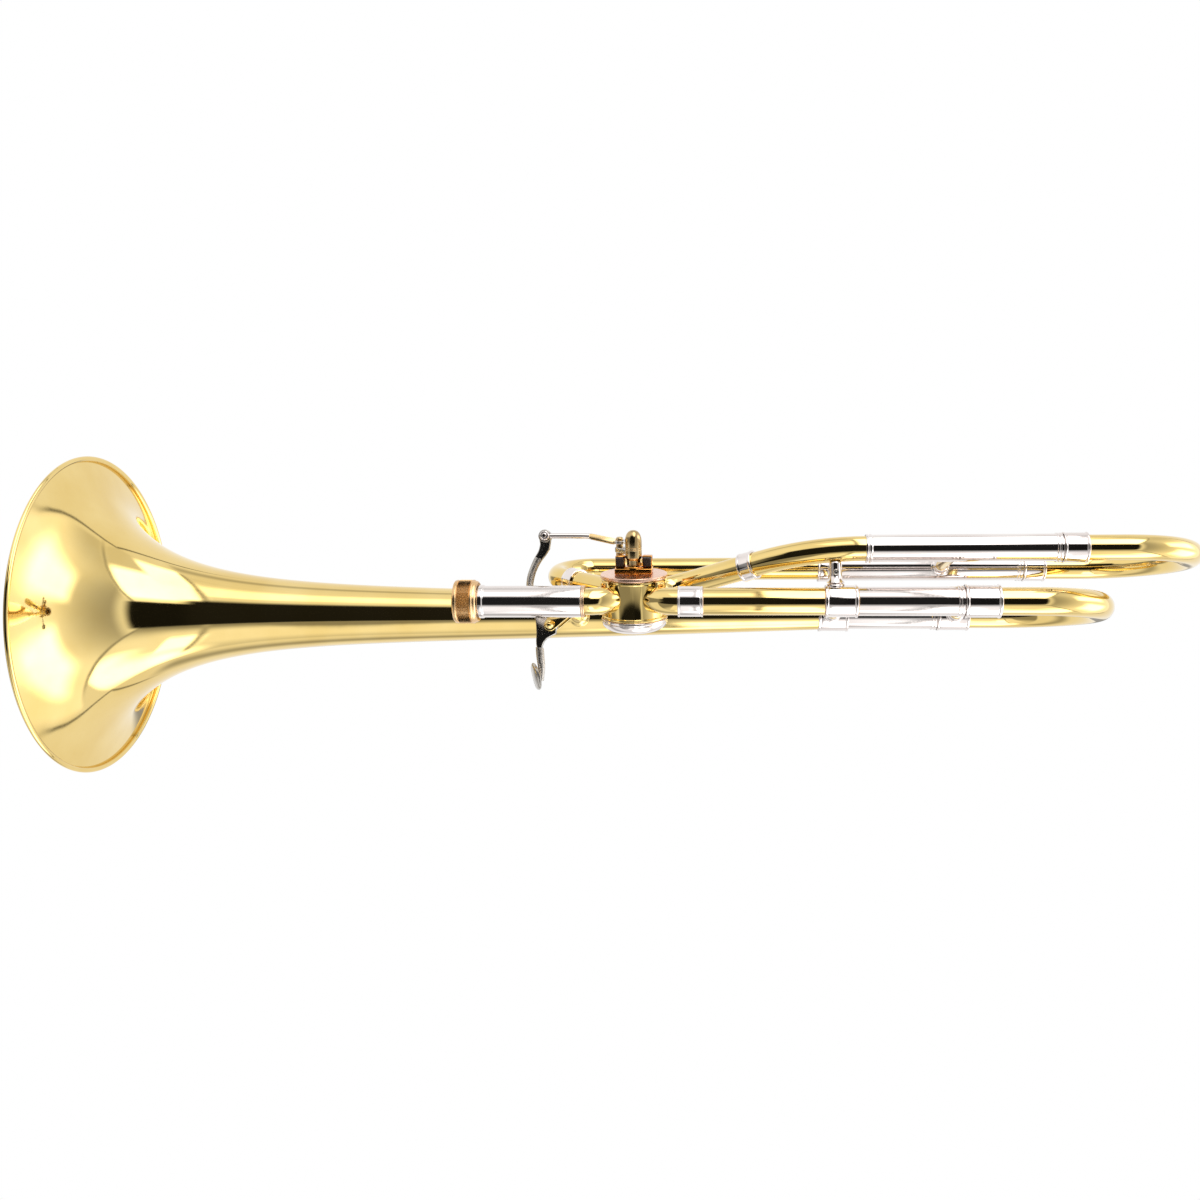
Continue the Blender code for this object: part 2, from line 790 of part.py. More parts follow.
# Valve casing with its bearings, cap and rotor
valve_centre = (VALVE_X, VALVE_Y, VALVE_Z)
casing = turned(
    "valve_casing",
    [
        (CASING_RADIUS, CASING_TOP),
        (CASING_RADIUS, CASING_BOTTOM),
        (CASING_BORE, CASING_BOTTOM),
        (CASING_BORE, CASING_TOP),
    ],
    valve_centre,
    LEAN_TURN,
    sides=CASING_SIDES,
)
for tag, way in (("rising", 1.0), ("falling", -1.0)):
    direction = Vector(valve_point(DIAGONAL, DIAGONAL * way, 0.0)) - Vector(valve_centre)
    bore = turned(
        "port_bore_" + tag,
        [(0.0, 30.0), (PORT_RADIUS, 30.0), (PORT_RADIUS, -30.0), (0.0, -30.0)],
        valve_centre,
        direction.to_track_quat("Z", "Y").to_euler(),
        is_cutter=True,
    )
    boolean(casing, bore)
paint(casing, BRASS, 0.12)

bearing_bore = SPINDLE_RADIUS + GAP
top_bearing = turned(
    "top_bearing",
    [
        (PLATE_RADIUS - 0.4, PLATE_TOP),
        (PLATE_RADIUS, PLATE_TOP - 0.4),
        (PLATE_RADIUS, CASING_TOP + GAP),
        (bearing_bore, CASING_TOP + GAP),
        (bearing_bore, PLATE_TOP),
    ],
    valve_centre,
    LEAN_TURN,
    sides=CASING_SIDES,
)
paint(top_bearing, COPPER, 0.2)
lower_bearing = turned(
    "lower_bearing",
    [
        (ROTOR_RADIUS, -ROTOR_HALF - GAP),
        (ROTOR_RADIUS, CASING_BOTTOM + GAP),
        (bearing_bore, CASING_BOTTOM + GAP),
        (bearing_bore, -ROTOR_HALF - GAP),
    ],
    valve_centre,
    LEAN_TURN,
    sides=CASING_SIDES,
)
paint(lower_bearing, BRASS, 0.3)
cap_radius = CASING_RADIUS + 0.4
cap = turned(
    "valve_cap",
    [
        (0.0, CAP_BOTTOM + 1.4),
        (cap_radius - 8.4, CAP_BOTTOM + 2.5),
        (cap_radius - 4.2, CAP_BOTTOM + 3.8),
        (cap_radius - 2.2, CAP_BOTTOM + 5.5),
        (cap_radius - 1.4, CASING_BOTTOM - GAP),
        (cap_radius, CASING_BOTTOM - GAP),
        (cap_radius, CAP_BOTTOM + 6.9),
        (cap_radius - 0.8, CAP_BOTTOM + 4.6),
        (cap_radius - 3.4, CAP_BOTTOM + 2.6),
        (cap_radius - 7.4, CAP_BOTTOM + 1.2),
        (4.0, CAP_BOTTOM),
        (3.4, CAP_BOTTOM - 0.8),
        (0.0, CAP_BOTTOM - 0.8),
    ],
    valve_centre,
    LEAN_TURN,
    sides=CASING_SIDES,
)
paint(cap, NICKEL, 0.12)

SPINDLE_STEP = 17.6
SPINDLE_TIP_RADIUS = 2.2
SPINDLE_TIP = 30.0
rotor = turned(
    "rotor",
    [
        (0.0, SPINDLE_TIP),
        (SPINDLE_TIP_RADIUS, SPINDLE_TIP),
        (SPINDLE_TIP_RADIUS, SPINDLE_STEP),
        (SPINDLE_RADIUS, SPINDLE_STEP),
        (SPINDLE_RADIUS, ROTOR_HALF),
        (ROTOR_RADIUS, ROTOR_HALF),
        (ROTOR_RADIUS, -ROTOR_HALF),
        (SPINDLE_RADIUS, -ROTOR_HALF),
        (SPINDLE_RADIUS, CASING_BOTTOM + GAP),
        (0.0, CASING_BOTTOM + GAP),
    ],
    valve_centre,
    LEAN_TURN,
    sides=24,
)
for tag, way in (("near", -1.0), ("far", 1.0)):
    passage = turned(
        "rotor_passage_" + tag,
        ring_points(PORT_RADIUS, (ROTOR_RADIUS, 0.0), 12)[::-1],
        valve_point(0.0, way * ROTOR_RADIUS * math.sqrt(2.0), 0.0),
        LEAN_TURN,
        sides=32,
        is_cutter=True,
    )
    boolean(rotor, passage)
paint(rotor, BRASS, 0.2)

# Knuckles: short bent tubes from the casing to the lines
casing_cut_radius = CASING_RADIUS + GAP
casing_clearance = turned(
    "casing_clearance",
    [
        (0.0, 22.0),
        (casing_cut_radius, 22.0),
        (casing_cut_radius, -22.0),
        (0.0, -22.0),
    ],
    valve_centre,
    LEAN_TURN,
    sides=CASING_SIDES,
    is_cutter=True,
)


def diagonal_point(distance, u_way, v_way):
    return valve_point(distance * DIAGONAL * u_way, distance * DIAGONAL * v_way, 0.0)


near_corner = VALVE_Y / math.cos(VALVE_LEAN)
for side, way, start_x in (
    ("left", -1.0, COLLAR_END_X + GAP),
    ("right", 1.0, NECKPIPE_X - GAP),
):
    knuckle = swept(
        "knuckle_near_" + side,
        rounded_path(
            [
                (start_x, 0.0, 0.0),
                valve_point(near_corner * way, -near_corner, 0.0),
                diagonal_point(KNUCKLE_ROOT, way, -1.0),
            ],
            [KNUCKLE_RADIUS],
        ),
        NECKPIPE_RADIUS,
    )
    boolean(shell(knuckle), casing_clearance)
    paint(knuckle, BRASS, 0.12)

crook_joint = CROOK_FERRULE_START + CROOK_FERRULE_LENGTH / 2.0
feed = swept(
    "knuckle_far_left",
    [diagonal_point(KNUCKLE_ROOT, -1.0, 1.0), diagonal_point(crook_joint - GAP, -1.0, 1.0)],
    LOOP_TUBE_RADIUS,
)
boolean(shell(feed), casing_clearance)
paint(feed, BRASS, 0.12)


def joint_sleeve(name, middle, direction, length, radius):
    # A short sleeve over a butt joint between two loop tubes.
    bore = LOOP_TUBE_RADIUS + GAP
    edge = 0.5
    profile = [
        (radius - edge, length / 2.0),
        (radius, length / 2.0 - edge),
        (radius, edge - length / 2.0),
        (radius - edge, -length / 2.0),
        (bore, -length / 2.0),
        (bore, length / 2.0),
    ]
    item = turned(name, profile, middle, direction.to_track_quat("Z", "Y").to_euler())
    return paint(item, NICKEL, 0.14)


feed_way = Vector(diagonal_point(1.0, -1.0, 1.0)) - Vector(valve_centre)
joint_sleeve(
    "crook_ferrule",
    diagonal_point(crook_joint, -1.0, 1.0),
    feed_way,
    CROOK_FERRULE_LENGTH,
    LOOP_FERRULE_RADIUS,
)
loop_far_v = (LEG_SPACING - VALVE_Y) / math.cos(VALVE_LEAN)
loop_far_joint = (LOOP_FAR_FERRULE_X + LOOP_FAR_FERRULE_END_X) / 2.0
crook = swept(
    "loop_crook",
    rounded_path(
        [
            diagonal_point(crook_joint, -1.0, 1.0),
            valve_point(-loop_far_v, loop_far_v, 0.0),
            (loop_far_joint - GAP, LEG_SPACING, LOOP_HEIGHT),
        ],
        [CROOK_RADIUS],
    ),
    LOOP_TUBE_RADIUS,
)
paint(shell(crook), BRASS, 0.12)

# Loop lines
loop_far_ferrule = ferrule(
    "loop_far_ferrule",
    LOOP_FAR_FERRULE_X,
    LOOP_FAR_FERRULE_END_X,
    LOOP_FERRULE_RADIUS,
    LOOP_TUBE_RADIUS + GAP,
    LOOP_OUTER_RADIUS + GAP,
    loop_far_joint - GAP / 2.0,
    LEG_SPACING,
    LOOP_HEIGHT,
)
paint(loop_far_ferrule, NICKEL, 0.14)
loop_outer_far = outer_slide(
    "loop_outer_far",
    loop_far_joint,
    LOOP_OUTER_END_X,
    LOOP_OUTER_RADIUS,
    LEG_SPACING,
    LOOP_HEIGHT,
)
paint(loop_outer_far, NICKEL, 0.1)
LOOP_SOCKET = 3.4
loop_outer_near = outer_slide(
    "loop_outer_near",
    LOOP_NEAR_OUTER_X,
    LOOP_OUTER_END_X,
    LOOP_OUTER_RADIUS,
    0.0,
    LOOP_HEIGHT,
    LOOP_SOCKET,
)
paint(loop_outer_near, NICKEL, 0.1)

return_corner = Vector(diagonal_point(RETURN_CORNER, 1.0, 1.0))
diagonal_end = Vector((LOOP_NEAR_OUTER_X - DIAGONAL_SETBACK, 0.0, LOOP_HEIGHT))
diagonal_way = (diagonal_end - return_corner).normalized()
diagonal_joint = diagonal_end - diagonal_way * (DIAGONAL_REACH + DIAGONAL_FERRULE_LEAD)
diagonal_radius = DIAGONAL_REACH / math.tan(diagonal_way.angle(Vector((1.0, 0.0, 0.0))) / 2.0)
loop_knuckle = swept(
    "knuckle_far_right",
    rounded_path(
        [
            diagonal_point(KNUCKLE_ROOT, 1.0, 1.0),
            return_corner,
            diagonal_joint - diagonal_way * GAP,
        ],
        [RETURN_RADIUS],
    ),
    LOOP_TUBE_RADIUS,
)
boolean(shell(loop_knuckle), casing_clearance)
paint(loop_knuckle, BRASS, 0.12)
joint_sleeve(
    "diagonal_ferrule",
    diagonal_joint,
    diagonal_way,
    DIAGONAL_FERRULE,
    LOOP_FERRULE_RADIUS,
)
near_tube_end = LOOP_NEAR_OUTER_X + LOOP_SOCKET - 0.4 - GAP
loop_near_tube = swept(
    "loop_near_tube",
    rounded_path(
        [diagonal_joint, diagonal_end, (near_tube_end, 0.0, LOOP_HEIGHT)],
        [diagonal_radius],
        9.0,
    ),
    LOOP_TUBE_RADIUS,
)
paint(shell(loop_near_tube), BRASS, 0.12)

POST_RADIUS = 2.2
POST_FLANGE = 4.6
post_start = math.sqrt((rear_ferrule_radius + GAP) ** 2 - POST_FLANGE**2) - 0.3
post_tube_cut = LOOP_TUBE_RADIUS + GAP + 0.3
post_top = LOOP_HEIGHT - 0.4 - math.sqrt(post_tube_cut**2 - POST_FLANGE**2)
loop_post = stay(
    "loop_post",
    (LOOP_POST_X, 0.0, post_start),
    (0.0, 0.0, 0.0),
    post_top - post_start,
    POST_RADIUS,
    POST_FLANGE,
)
saddle_cut(
    loop_post, "loop_post_low_cut", (LOOP_POST_X, 0.0, 0.0), rear_ferrule_radius + GAP
)
saddle_cut(
    loop_post, "loop_post_high_cut", (LOOP_POST_X, 0.7, LOOP_HEIGHT - 0.3), post_tube_cut
)
paint(loop_post, BRASS, 0.15)

# Loop tuning slide
LOOP_BOW_START_X = 334.0
loop_slide_start = LOOP_OUTER_END_X + GAP
loop_leg_bore = LOOP_LEG_RADIUS - TUBE_WALL
loop_leg_end = LOOP_BOW_START_X - GAP
for side, y in (("near", 0.0), ("far", LEG_SPACING)):
    leg = sleeve(
        "loop_leg_" + side,
        LOOP_LEG_X,
        loop_leg_end,
        LOOP_LEG_RADIUS,
        loop_leg_bore,
        y,
        LOOP_HEIGHT,
    )
    paint(leg, NICKEL, 0.08)
    cover = ferrule(
        "loop_ferrule_" + side,
        loop_slide_start,
        loop_slide_start + LOOP_FERRULE_LENGTH,
        LOOP_FERRULE_RADIUS - 0.1,
        LOOP_LEG_RADIUS + GAP,
        LOOP_TUBE_RADIUS + GAP,
        LOOP_BOW_START_X - GAP / 2.0,
        y,
        LOOP_HEIGHT,
    )
    paint(cover, NICKEL, 0.14)
loop_bow_tip = LOOP_BOW_CENTRE_X + bow_radius
loop_bow_path = rounded_path(
    [
        (LOOP_BOW_START_X, 0.0, LOOP_HEIGHT),
        (loop_bow_tip, 0.0, LOOP_HEIGHT),
        (loop_bow_tip, LEG_SPACING, LOOP_HEIGHT),
        (LOOP_BOW_START_X, LEG_SPACING, LOOP_HEIGHT),
    ],
    [bow_radius, bow_radius],
)
loop_bow = shell(swept("loop_bow", loop_bow_path, LOOP_TUBE_RADIUS))
paint(loop_bow, BRASS, 0.12)

# Stops of the valve
spindle_hole = ring_points(bearing_bore, count=20)
corner = 2.0
plate_half = BUMPER_U + BUMPER_RADIUS + 0.6
plate_front = -6.0
plate_back = 9.0
bumper_plate = plate(
    "bumper_plate",
    [
        [
            (-plate_half, plate_front),
            (plate_half, plate_front),
            (plate_half, plate_back - corner),
            (plate_half - corner, plate_back),
            (corner - plate_half, plate_back),
            (-plate_half, plate_back - corner),
        ],
        spindle_hole,
    ],
    BUMPER_PLATE_TOP - PLATE_TOP - GAP,
    valve_point(0.0, 0.0, (BUMPER_PLATE_TOP + PLATE_TOP + GAP) / 2.0),
    LEAN_TURN,
)
paint(bumper_plate, (0.72, 0.36, 0.08), 0.2)

# The stop lug meets each bumper with its flat side when the arm is at the end of its travel.
lug_clear = BUMPER_RADIUS + LUG_HALF_WIDTH + GAP
bumper_v = lug_clear / DIAGONAL - BUMPER_U
bumper_base = BUMPER_PLATE_TOP + GAP
SCREW_HEAD_RADIUS = 1.6
SCREW_HEAD_HEIGHT = 1.0
for side, way in (("left", -1.0), ("right", 1.0)):
    bumper = plate(
        "bumper_" + side,
        [ring_points(BUMPER_RADIUS, (BUMPER_U * way, bumper_v), 14)],
        BUMPER_TOP - bumper_base,
        valve_point(0.0, 0.0, (BUMPER_TOP + bumper_base) / 2.0),
        LEAN_TURN,
    )
    paint(bumper, RUBBER, 0.6, 0.0)
    screw = plate(
        "plate_screw_" + side,
        [ring_points(SCREW_HEAD_RADIUS, (BUMPER_U * way, plate_back - 3.0), 12)],
        SCREW_HEAD_HEIGHT,
        valve_point(0.0, 0.0, bumper_base + SCREW_HEAD_HEIGHT / 2.0),
        LEAN_TURN,
    )
    paint(screw, STEEL, 0.25)


def bar_outline(direction, start, end, half_start, half_end):
    # A tapering bar seen from above, round at its far end.
    way = Vector((math.cos(direction), math.sin(direction)))
    side = Vector((-way.y, way.x))
    points = [way * start - side * half_start]
    for i in range(7):
        turn = math.pi * i / 6 - QUARTER
        reach = way * (end + half_end * math.cos(turn))
        points.append(reach + side * (half_end * math.sin(turn)))
    points.append(way * start + side * half_start)
    return [(point.x, point.y) for point in points]


hub_bore = SPINDLE_TIP_RADIUS + GAP
stop_arm = turned(
    "stop_arm",
    [
        (0.0, HUB_TOP),
        (2.2, HUB_TOP - 0.5),
        (3.9, HUB_TOP - 2.2),
        (HUB_RADIUS, HUB_TOP - 5.5),
        (HUB_RADIUS, HUB_SHOULDER),
        (HUB_BASE_RADIUS, HUB_SHOULDER - 1.0),
        (HUB_BASE_RADIUS, HUB_BASE),
        (hub_bore, HUB_BASE),
        (hub_bore, SPINDLE_TIP + GAP),
        (0.0, SPINDLE_TIP + GAP),
    ],
    valve_centre,
    LEAN_TURN,
    sides=24,
)
ARM_ANGLE = math.radians(135.0)
LUG_ANGLE = math.radians(-45.0)
stud_u = ARM_LENGTH * math.cos(ARM_ANGLE)
stud_v = ARM_LENGTH * math.sin(ARM_ANGLE)
arm_bar = plate(
    "stop_arm_bar",
    [
        bar_outline(ARM_ANGLE, hub_bore + 0.8, ARM_LENGTH, 3.0, 2.9),
        ring_points(STUD_RADIUS + GAP, (stud_u, stud_v), 12),
    ],
    ARM_TOP - ARM_BOTTOM,
    valve_point(0.0, 0.0, (ARM_TOP + ARM_BOTTOM) / 2.0),
    LEAN_TURN,
    is_cutter=True,
)
boolean(stop_arm, arm_bar, "UNION")
LUG_BOTTOM = 18.2
LUG_TOP = 20.2
lug_bar = plate(
    "stop_arm_lug",
    [
        bar_outline(
            LUG_ANGLE,
            hub_bore + 0.6,
            LUG_LENGTH - LUG_HALF_WIDTH,
            LUG_HALF_WIDTH,
            LUG_HALF_WIDTH,
        )
    ],
    LUG_TOP - LUG_BOTTOM,
    valve_point(0.0, 0.0, (LUG_TOP + LUG_BOTTOM) / 2.0),
    LEAN_TURN,
    is_cutter=True,
)
boolean(stop_arm, lug_bar, "UNION")
paint(stop_arm, CHAMPAGNE, 0.25)

arm_stud = turned(
    "arm_stud",
    [
        (0.0, STUD_TOP),
        (STUD_HEAD_RADIUS - 1.0, STUD_TOP - 0.2),
        (STUD_HEAD_RADIUS, STUD_TOP - 1.2),
        (STUD_HEAD_RADIUS - 0.3, STUD_HEAD),
        (STUD_RADIUS, STUD_HEAD),
        (STUD_RADIUS, ARM_BOTTOM - GAP),
        (2.3, ARM_BOTTOM - GAP),
        (2.3, ARM_BOTTOM - 1.6),
        (0.0, ARM_BOTTOM - 1.6),
    ],
    valve_point(stud_u, stud_v, 0.0),
    LEAN_TURN,
    sides=14,
)
paint(arm_stud, STEEL, 0.25)

# Link rod: a ring on the lever joint, a bar, and a slotted eye over the stud
eye_v = (stud_v + ARM_LENGTH) / 2.0
eye_spot = Vector(valve_point(stud_u, eye_v, EYE_HEIGHT))
rod_y = eye_spot.y
RING_THICKNESS = 2.3
RING_RADIUS = 3.8
JOINT_HOLE = PIN_RADIUS + GAP
FLAT_TURN = (QUARTER, 0.0, 0.0)
link_rod = plate(
    "link_rod",
    [ring_points(RING_RADIUS, count=20), ring_points(JOINT_HOLE, count=14)],
    RING_THICKNESS,
    (JOINT_X, rod_y, JOINT_Z),
    FLAT_TURN,
)
BEND_X = 61.0
rod_bend = Vector((BEND_X, rod_y, JOINT_Z - 0.2))
eye_reach = SLOT_HALF_WIDTH + EYE_WALL
rod_bar = swept(
    "link_rod_bar",
    [(JOINT_X + RING_RADIUS - 1.2, rod_y, JOINT_Z), rod_bend + Vector((2.0, 0.0, -0.3))],
    ROD_RADIUS,
    sides=10,
    capped=True,
    is_cutter=True,
)
boolean(link_rod, rod_bar, "UNION")
strip_end = eye_spot - Vector((eye_reach - 1.0, 0.0, 0.0))
strip_way = strip_end - rod_bend
rod_strip = block(
    "link_rod_strip",
    (strip_way.length, 1.8, 3.6),
    (rod_bend + strip_way / 2.0)[:],
    (0.0, -math.atan2(strip_way.z, strip_way.x), 0.0),
    is_cutter=True,
)
boolean(link_rod, rod_strip, "UNION")


def slot_outline(half_width, half_length, count=6):
    # A round-ended slot, long along its own Y.
    straight = half_length - half_width
    points = []
    for i in range(count + 1):
        turn = math.pi * i / count
        points.append((half_width * math.cos(turn), straight + half_width * math.sin(turn)))
    for i in range(count + 1):
        turn = math.pi + math.pi * i / count
        points.append((half_width * math.cos(turn), half_width * math.sin(turn) - straight))
    return points


rod_eye = plate(
    "link_rod_eye",
    [
        slot_outline(eye_reach, SLOT_HALF_LENGTH + EYE_WALL),
        slot_outline(SLOT_HALF_WIDTH, SLOT_HALF_LENGTH),
    ],
    EYE_THICKNESS,
    eye_spot[:],
    LEAN_TURN,
    is_cutter=True,
)
boolean(link_rod, rod_eye, "UNION")
paint(link_rod, NICKEL, 0.2)

# Thumb lever
lever_front = rod_y + RING_THICKNESS / 2.0 + GAP
lever_y = lever_front + LEVER_THICKNESS / 2.0
lever_back = lever_front + LEVER_THICKNESS
HEAD_RADIUS = 3.9
BOSS_RADIUS = 4.1

# Edges of the lever, from its head down to the thumb and back up from the boss, seen from the pivot
LEVER_FRONT_EDGE = [
    (-7.0, 48.8), (-8.1, 44.5), (-10.7, 39.8), (-13.2, 33.8), (-14.6, 28.8), (-15.0, 23.0),
    (-14.2, 16.3), (-11.8, 9.3), (-9.4, 3.6), (-8.6, -4.0), (-8.6, -11.0), (-7.2, -17.0),
    (-6.2, -25.6), (-4.7, -25.6), (-5.1, -11.6), (-2.1, -8.0), (3.4, -5.0),
]
LEVER_INNER_EDGE = [
    (-5.8, 8.4), (-9.4, 15.8), (-11.0, 23.4), (-10.4, 28.6), (-9.0, 33.2), (-6.4, 38.2),
    (-3.4, 42.2), (-1.2, 45.8),
]


def arc_points(centre, radius, first, last, count):
    points = []
    for i in range(count):
        turn = math.radians(first + (last - first) * i / (count - 1))
        points.append((centre[0] + radius * math.cos(turn), centre[1] + radius * math.sin(turn)))
    return points


def lever_spot(along, across):
    # Points of the lever outline are given from the pivot.
    return (PIVOT_X + along, PIVOT_Z + across)


lever_outline = arc_points((JOINT_X, JOINT_Z), HEAD_RADIUS, -30.0, 190.0, 9)
lever_outline += [lever_spot(along, across) for along, across in LEVER_FRONT_EDGE]
lever_outline += arc_points((PIVOT_X, PIVOT_Z), BOSS_RADIUS, -30.0, 120.0, 6)
lever_outline += [lever_spot(along, across) for along, across in LEVER_INNER_EDGE]
lever = plate(
    "lever_arm",
    [
        lever_outline,
        ring_points(JOINT_HOLE, (JOINT_X, JOINT_Z), 12),
        ring_points(JOINT_HOLE, (PIVOT_X, PIVOT_Z), 12),
    ],
    LEVER_THICKNESS,
    (0.0, lever_y, 0.0),
    FLAT_TURN,
)
paint(lever, STEEL, 0.25)

ALONG_Y = (-QUARTER, 0.0, 0.0)
screw_front = rod_y - RING_THICKNESS / 2.0 - GAP
joint_screw = turned(
    "lever_joint_screw",
    [
        (0.0, lever_back + 1.0),
        (PIN_RADIUS, lever_back + 1.0),
        (PIN_RADIUS, screw_front),
        (3.0, screw_front),
        (2.7, screw_front - 1.4),
        (1.2, screw_front - 2.0),
        (0.0, screw_front - 2.0),
    ],
    (JOINT_X, 0.0, JOINT_Z),
    ALONG_Y,
    sides=18,
)
paint(joint_screw, NICKEL, 0.15)

PADDLE_TILT = math.radians(-14.4)
bpy.ops.mesh.primitive_uv_sphere_add(segments=14, ring_count=9, radius=1.0)
paddle = bpy.context.object
paddle.name = "thumb_paddle"
paddle.data.name = "thumb_paddle"
PADDLE_SIZE = (1.5, 9.0, 10.6)
PADDLE_BACK = 6.1
PADDLE_DROP = 28.2
PADDLE_BOW = 1.6
for point in paddle.data.vertices:
    bow = PADDLE_BOW * (1.0 - point.co.y**2)
    point.co = Vector(
        (
            (point.co.x * PADDLE_SIZE[0] - bow) * MM,
            point.co.y * PADDLE_SIZE[1] * MM,
            point.co.z * PADDLE_SIZE[2] * MM,
        )
    )
for face in paddle.data.polygons:
    face.use_smooth = True
for owner in list(paddle.users_collection):
    owner.objects.unlink(paddle)
paddle_spot = (PIVOT_X - PADDLE_BACK, lever_y, PIVOT_Z - PADDLE_DROP)
place(paddle, paddle_spot, (0.0, PADDLE_TILT, 0.0), False)
paint(paddle, NICKEL, 0.15)

# Bracket cheeks on the body brace, with the hinge pin and the return spring
cheek_gap = 5.9
back_cheek = lever_back + cheek_gap
front_cheek = lever_front - 0.5 - CHEEK_THICKNESS


def hull_outline(first, first_radius, second, second_radius, count=8):
    # Two discs joined by their outer tangents.
    first = Vector(first)
    second = Vector(second)
    way = second - first
    heading = math.atan2(way.y, way.x)
    lean = math.acos((first_radius - second_radius) / way.length)
    points = []
    for i in range(count + 1):
        turn = heading + lean + (2.0 * math.pi - 2.0 * lean) * i / count
        points.append(
            (first.x + first_radius * math.cos(turn), first.y + first_radius * math.sin(turn))
        )
    for i in range(count + 1):
        turn = heading - lean + 2.0 * lean * i / count
        points.append(
            (second.x + second_radius * math.cos(turn), second.y + second_radius * math.sin(turn))
        )
    return points


for side, cheek_y in (("front", front_cheek), ("back", back_cheek)):
    cheek = plate(
        "bracket_cheek_" + side,
        [
            hull_outline(
                (BODY_BRACE_X, BODY_BRACE_Z), BRACE_RADIUS + 2.2, (PIVOT_X, PIVOT_Z), 3.6
            ),
            ring_points(BRACE_RADIUS + GAP, (BODY_BRACE_X, BODY_BRACE_Z), 16),
            ring_points(JOINT_HOLE, (PIVOT_X, PIVOT_Z), 12),
        ],
        CHEEK_THICKNESS,
        (0.0, cheek_y + CHEEK_THICKNESS / 2.0, 0.0),
        FLAT_TURN,
    )
    paint(cheek, BRASS, 0.2)

pin_front = front_cheek - 0.5
pin_back = back_cheek + CHEEK_THICKNESS + 0.5


def ball_profile(centre, radius, from_top):
    # Half of a ball outline on the pin, ending at the pin's own radius.
    steps = 5
    lean = math.asin(PIN_RADIUS / radius)
    points = []
    for i in range(steps):
        turn = (math.pi - lean) * i / (steps - 1)
        height = radius * math.cos(turn)
        points.append((radius * math.sin(turn), centre + height))
    if from_top:
        return points
    return [(x, 2.0 * centre - height) for x, height in points][::-1]


ball_offset = math.sqrt(PIN_BALL_RADIUS**2 - PIN_RADIUS**2)
pin_profile = ball_profile(pin_back + ball_offset, PIN_BALL_RADIUS, True)
pin_profile += ball_profile(pin_front - ball_offset, PIN_BALL_RADIUS, False)
pin = turned("lever_pin", pin_profile, (PIVOT_X, 0.0, PIVOT_Z), ALONG_Y, sides=16)
paint(pin, BRASS, 0.15)

spring_start = lever_back + 0.95
spring_path = []
LOOP_POINTS = 10
spring_count = round(SPRING_TURNS * LOOP_POINTS)
spring_end = spring_start + SPRING_PITCH * SPRING_TURNS
spring_path.append((PIVOT_X + SPRING_RADIUS, spring_start, PIVOT_Z + 7.0))
for i in range(spring_count + 1):
    turn = -2.0 * math.pi * i / LOOP_POINTS
    spring_path.append(
        (
            PIVOT_X + SPRING_RADIUS * math.cos(turn),
            spring_start + SPRING_PITCH * i / LOOP_POINTS,
            PIVOT_Z + SPRING_RADIUS * math.sin(turn),
        )
    )
last = spring_path[-1]
spring_path.append((last[0], spring_end, last[2] + 7.0))
spring = swept("lever_spring", spring_path, SPRING_WIRE, sides=6, capped=True)
paint(spring, STEEL, 0.3)
nearest = min(
    (Vector(spring_path[i]) - Vector(spring_path[j])).length
    for i in range(1, len(spring_path) - 1)
    for j in range(i + LOOP_POINTS // 2, len(spring_path) - 1)
)
print("spring loops stand", round(nearest - 2.0 * SPRING_WIRE, 3), "mm apart")

# Small lugs brazed to the front of the casing, under the top plate
lug_inner = CASING_RADIUS - 1.0
lug_outer = CASING_RADIUS + GAP + 3.0
LUG_HALF = 2.8
lug_top = CASING_TOP - 0.1
lug_low = NECKPIPE_RADIUS + GAP
for side, turn in (("left", math.radians(-137.0)), ("right", math.radians(-43.0))):
    way = Vector((math.cos(turn), math.sin(turn)))
    across = Vector((-way.y, way.x)) * LUG_HALF
    lug = plate(
        "lug_form_" + side,
        [
            [
                (way * lug_inner + across)[:],
                (way * lug_inner - across)[:],
                (way * lug_outer - across)[:],
                (way * lug_outer + across)[:],
            ]
        ],
        lug_top - lug_low,
        valve_point(0.0, 0.0, (lug_top + lug_low) / 2.0),
        LEAN_TURN,
        is_cutter=True,
    )
    boolean(casing, lug, "UNION")
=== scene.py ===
import json
from math import acos, atan2, cos, degrees, pi, radians, sin, sqrt, tan

import bmesh
import bpy
import numpy as np
from mathutils import Matrix, Vector

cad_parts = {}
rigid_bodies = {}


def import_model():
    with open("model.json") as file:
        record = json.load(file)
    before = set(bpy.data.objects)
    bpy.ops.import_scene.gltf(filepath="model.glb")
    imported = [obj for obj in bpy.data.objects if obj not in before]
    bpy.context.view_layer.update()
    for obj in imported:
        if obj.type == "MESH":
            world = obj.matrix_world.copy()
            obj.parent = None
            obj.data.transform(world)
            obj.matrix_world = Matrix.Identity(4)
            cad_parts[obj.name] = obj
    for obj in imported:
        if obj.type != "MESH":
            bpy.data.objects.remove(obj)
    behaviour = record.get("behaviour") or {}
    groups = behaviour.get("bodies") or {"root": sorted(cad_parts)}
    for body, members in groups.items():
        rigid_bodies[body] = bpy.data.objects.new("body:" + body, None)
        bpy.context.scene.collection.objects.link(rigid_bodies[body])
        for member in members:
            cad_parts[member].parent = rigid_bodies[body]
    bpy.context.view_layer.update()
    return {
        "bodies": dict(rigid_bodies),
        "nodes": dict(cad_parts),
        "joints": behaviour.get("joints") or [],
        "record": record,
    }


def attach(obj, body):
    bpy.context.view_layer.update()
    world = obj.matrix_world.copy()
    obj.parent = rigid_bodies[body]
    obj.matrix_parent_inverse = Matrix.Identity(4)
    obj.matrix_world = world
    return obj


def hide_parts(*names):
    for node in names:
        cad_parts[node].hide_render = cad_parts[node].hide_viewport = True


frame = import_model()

MM = 0.001
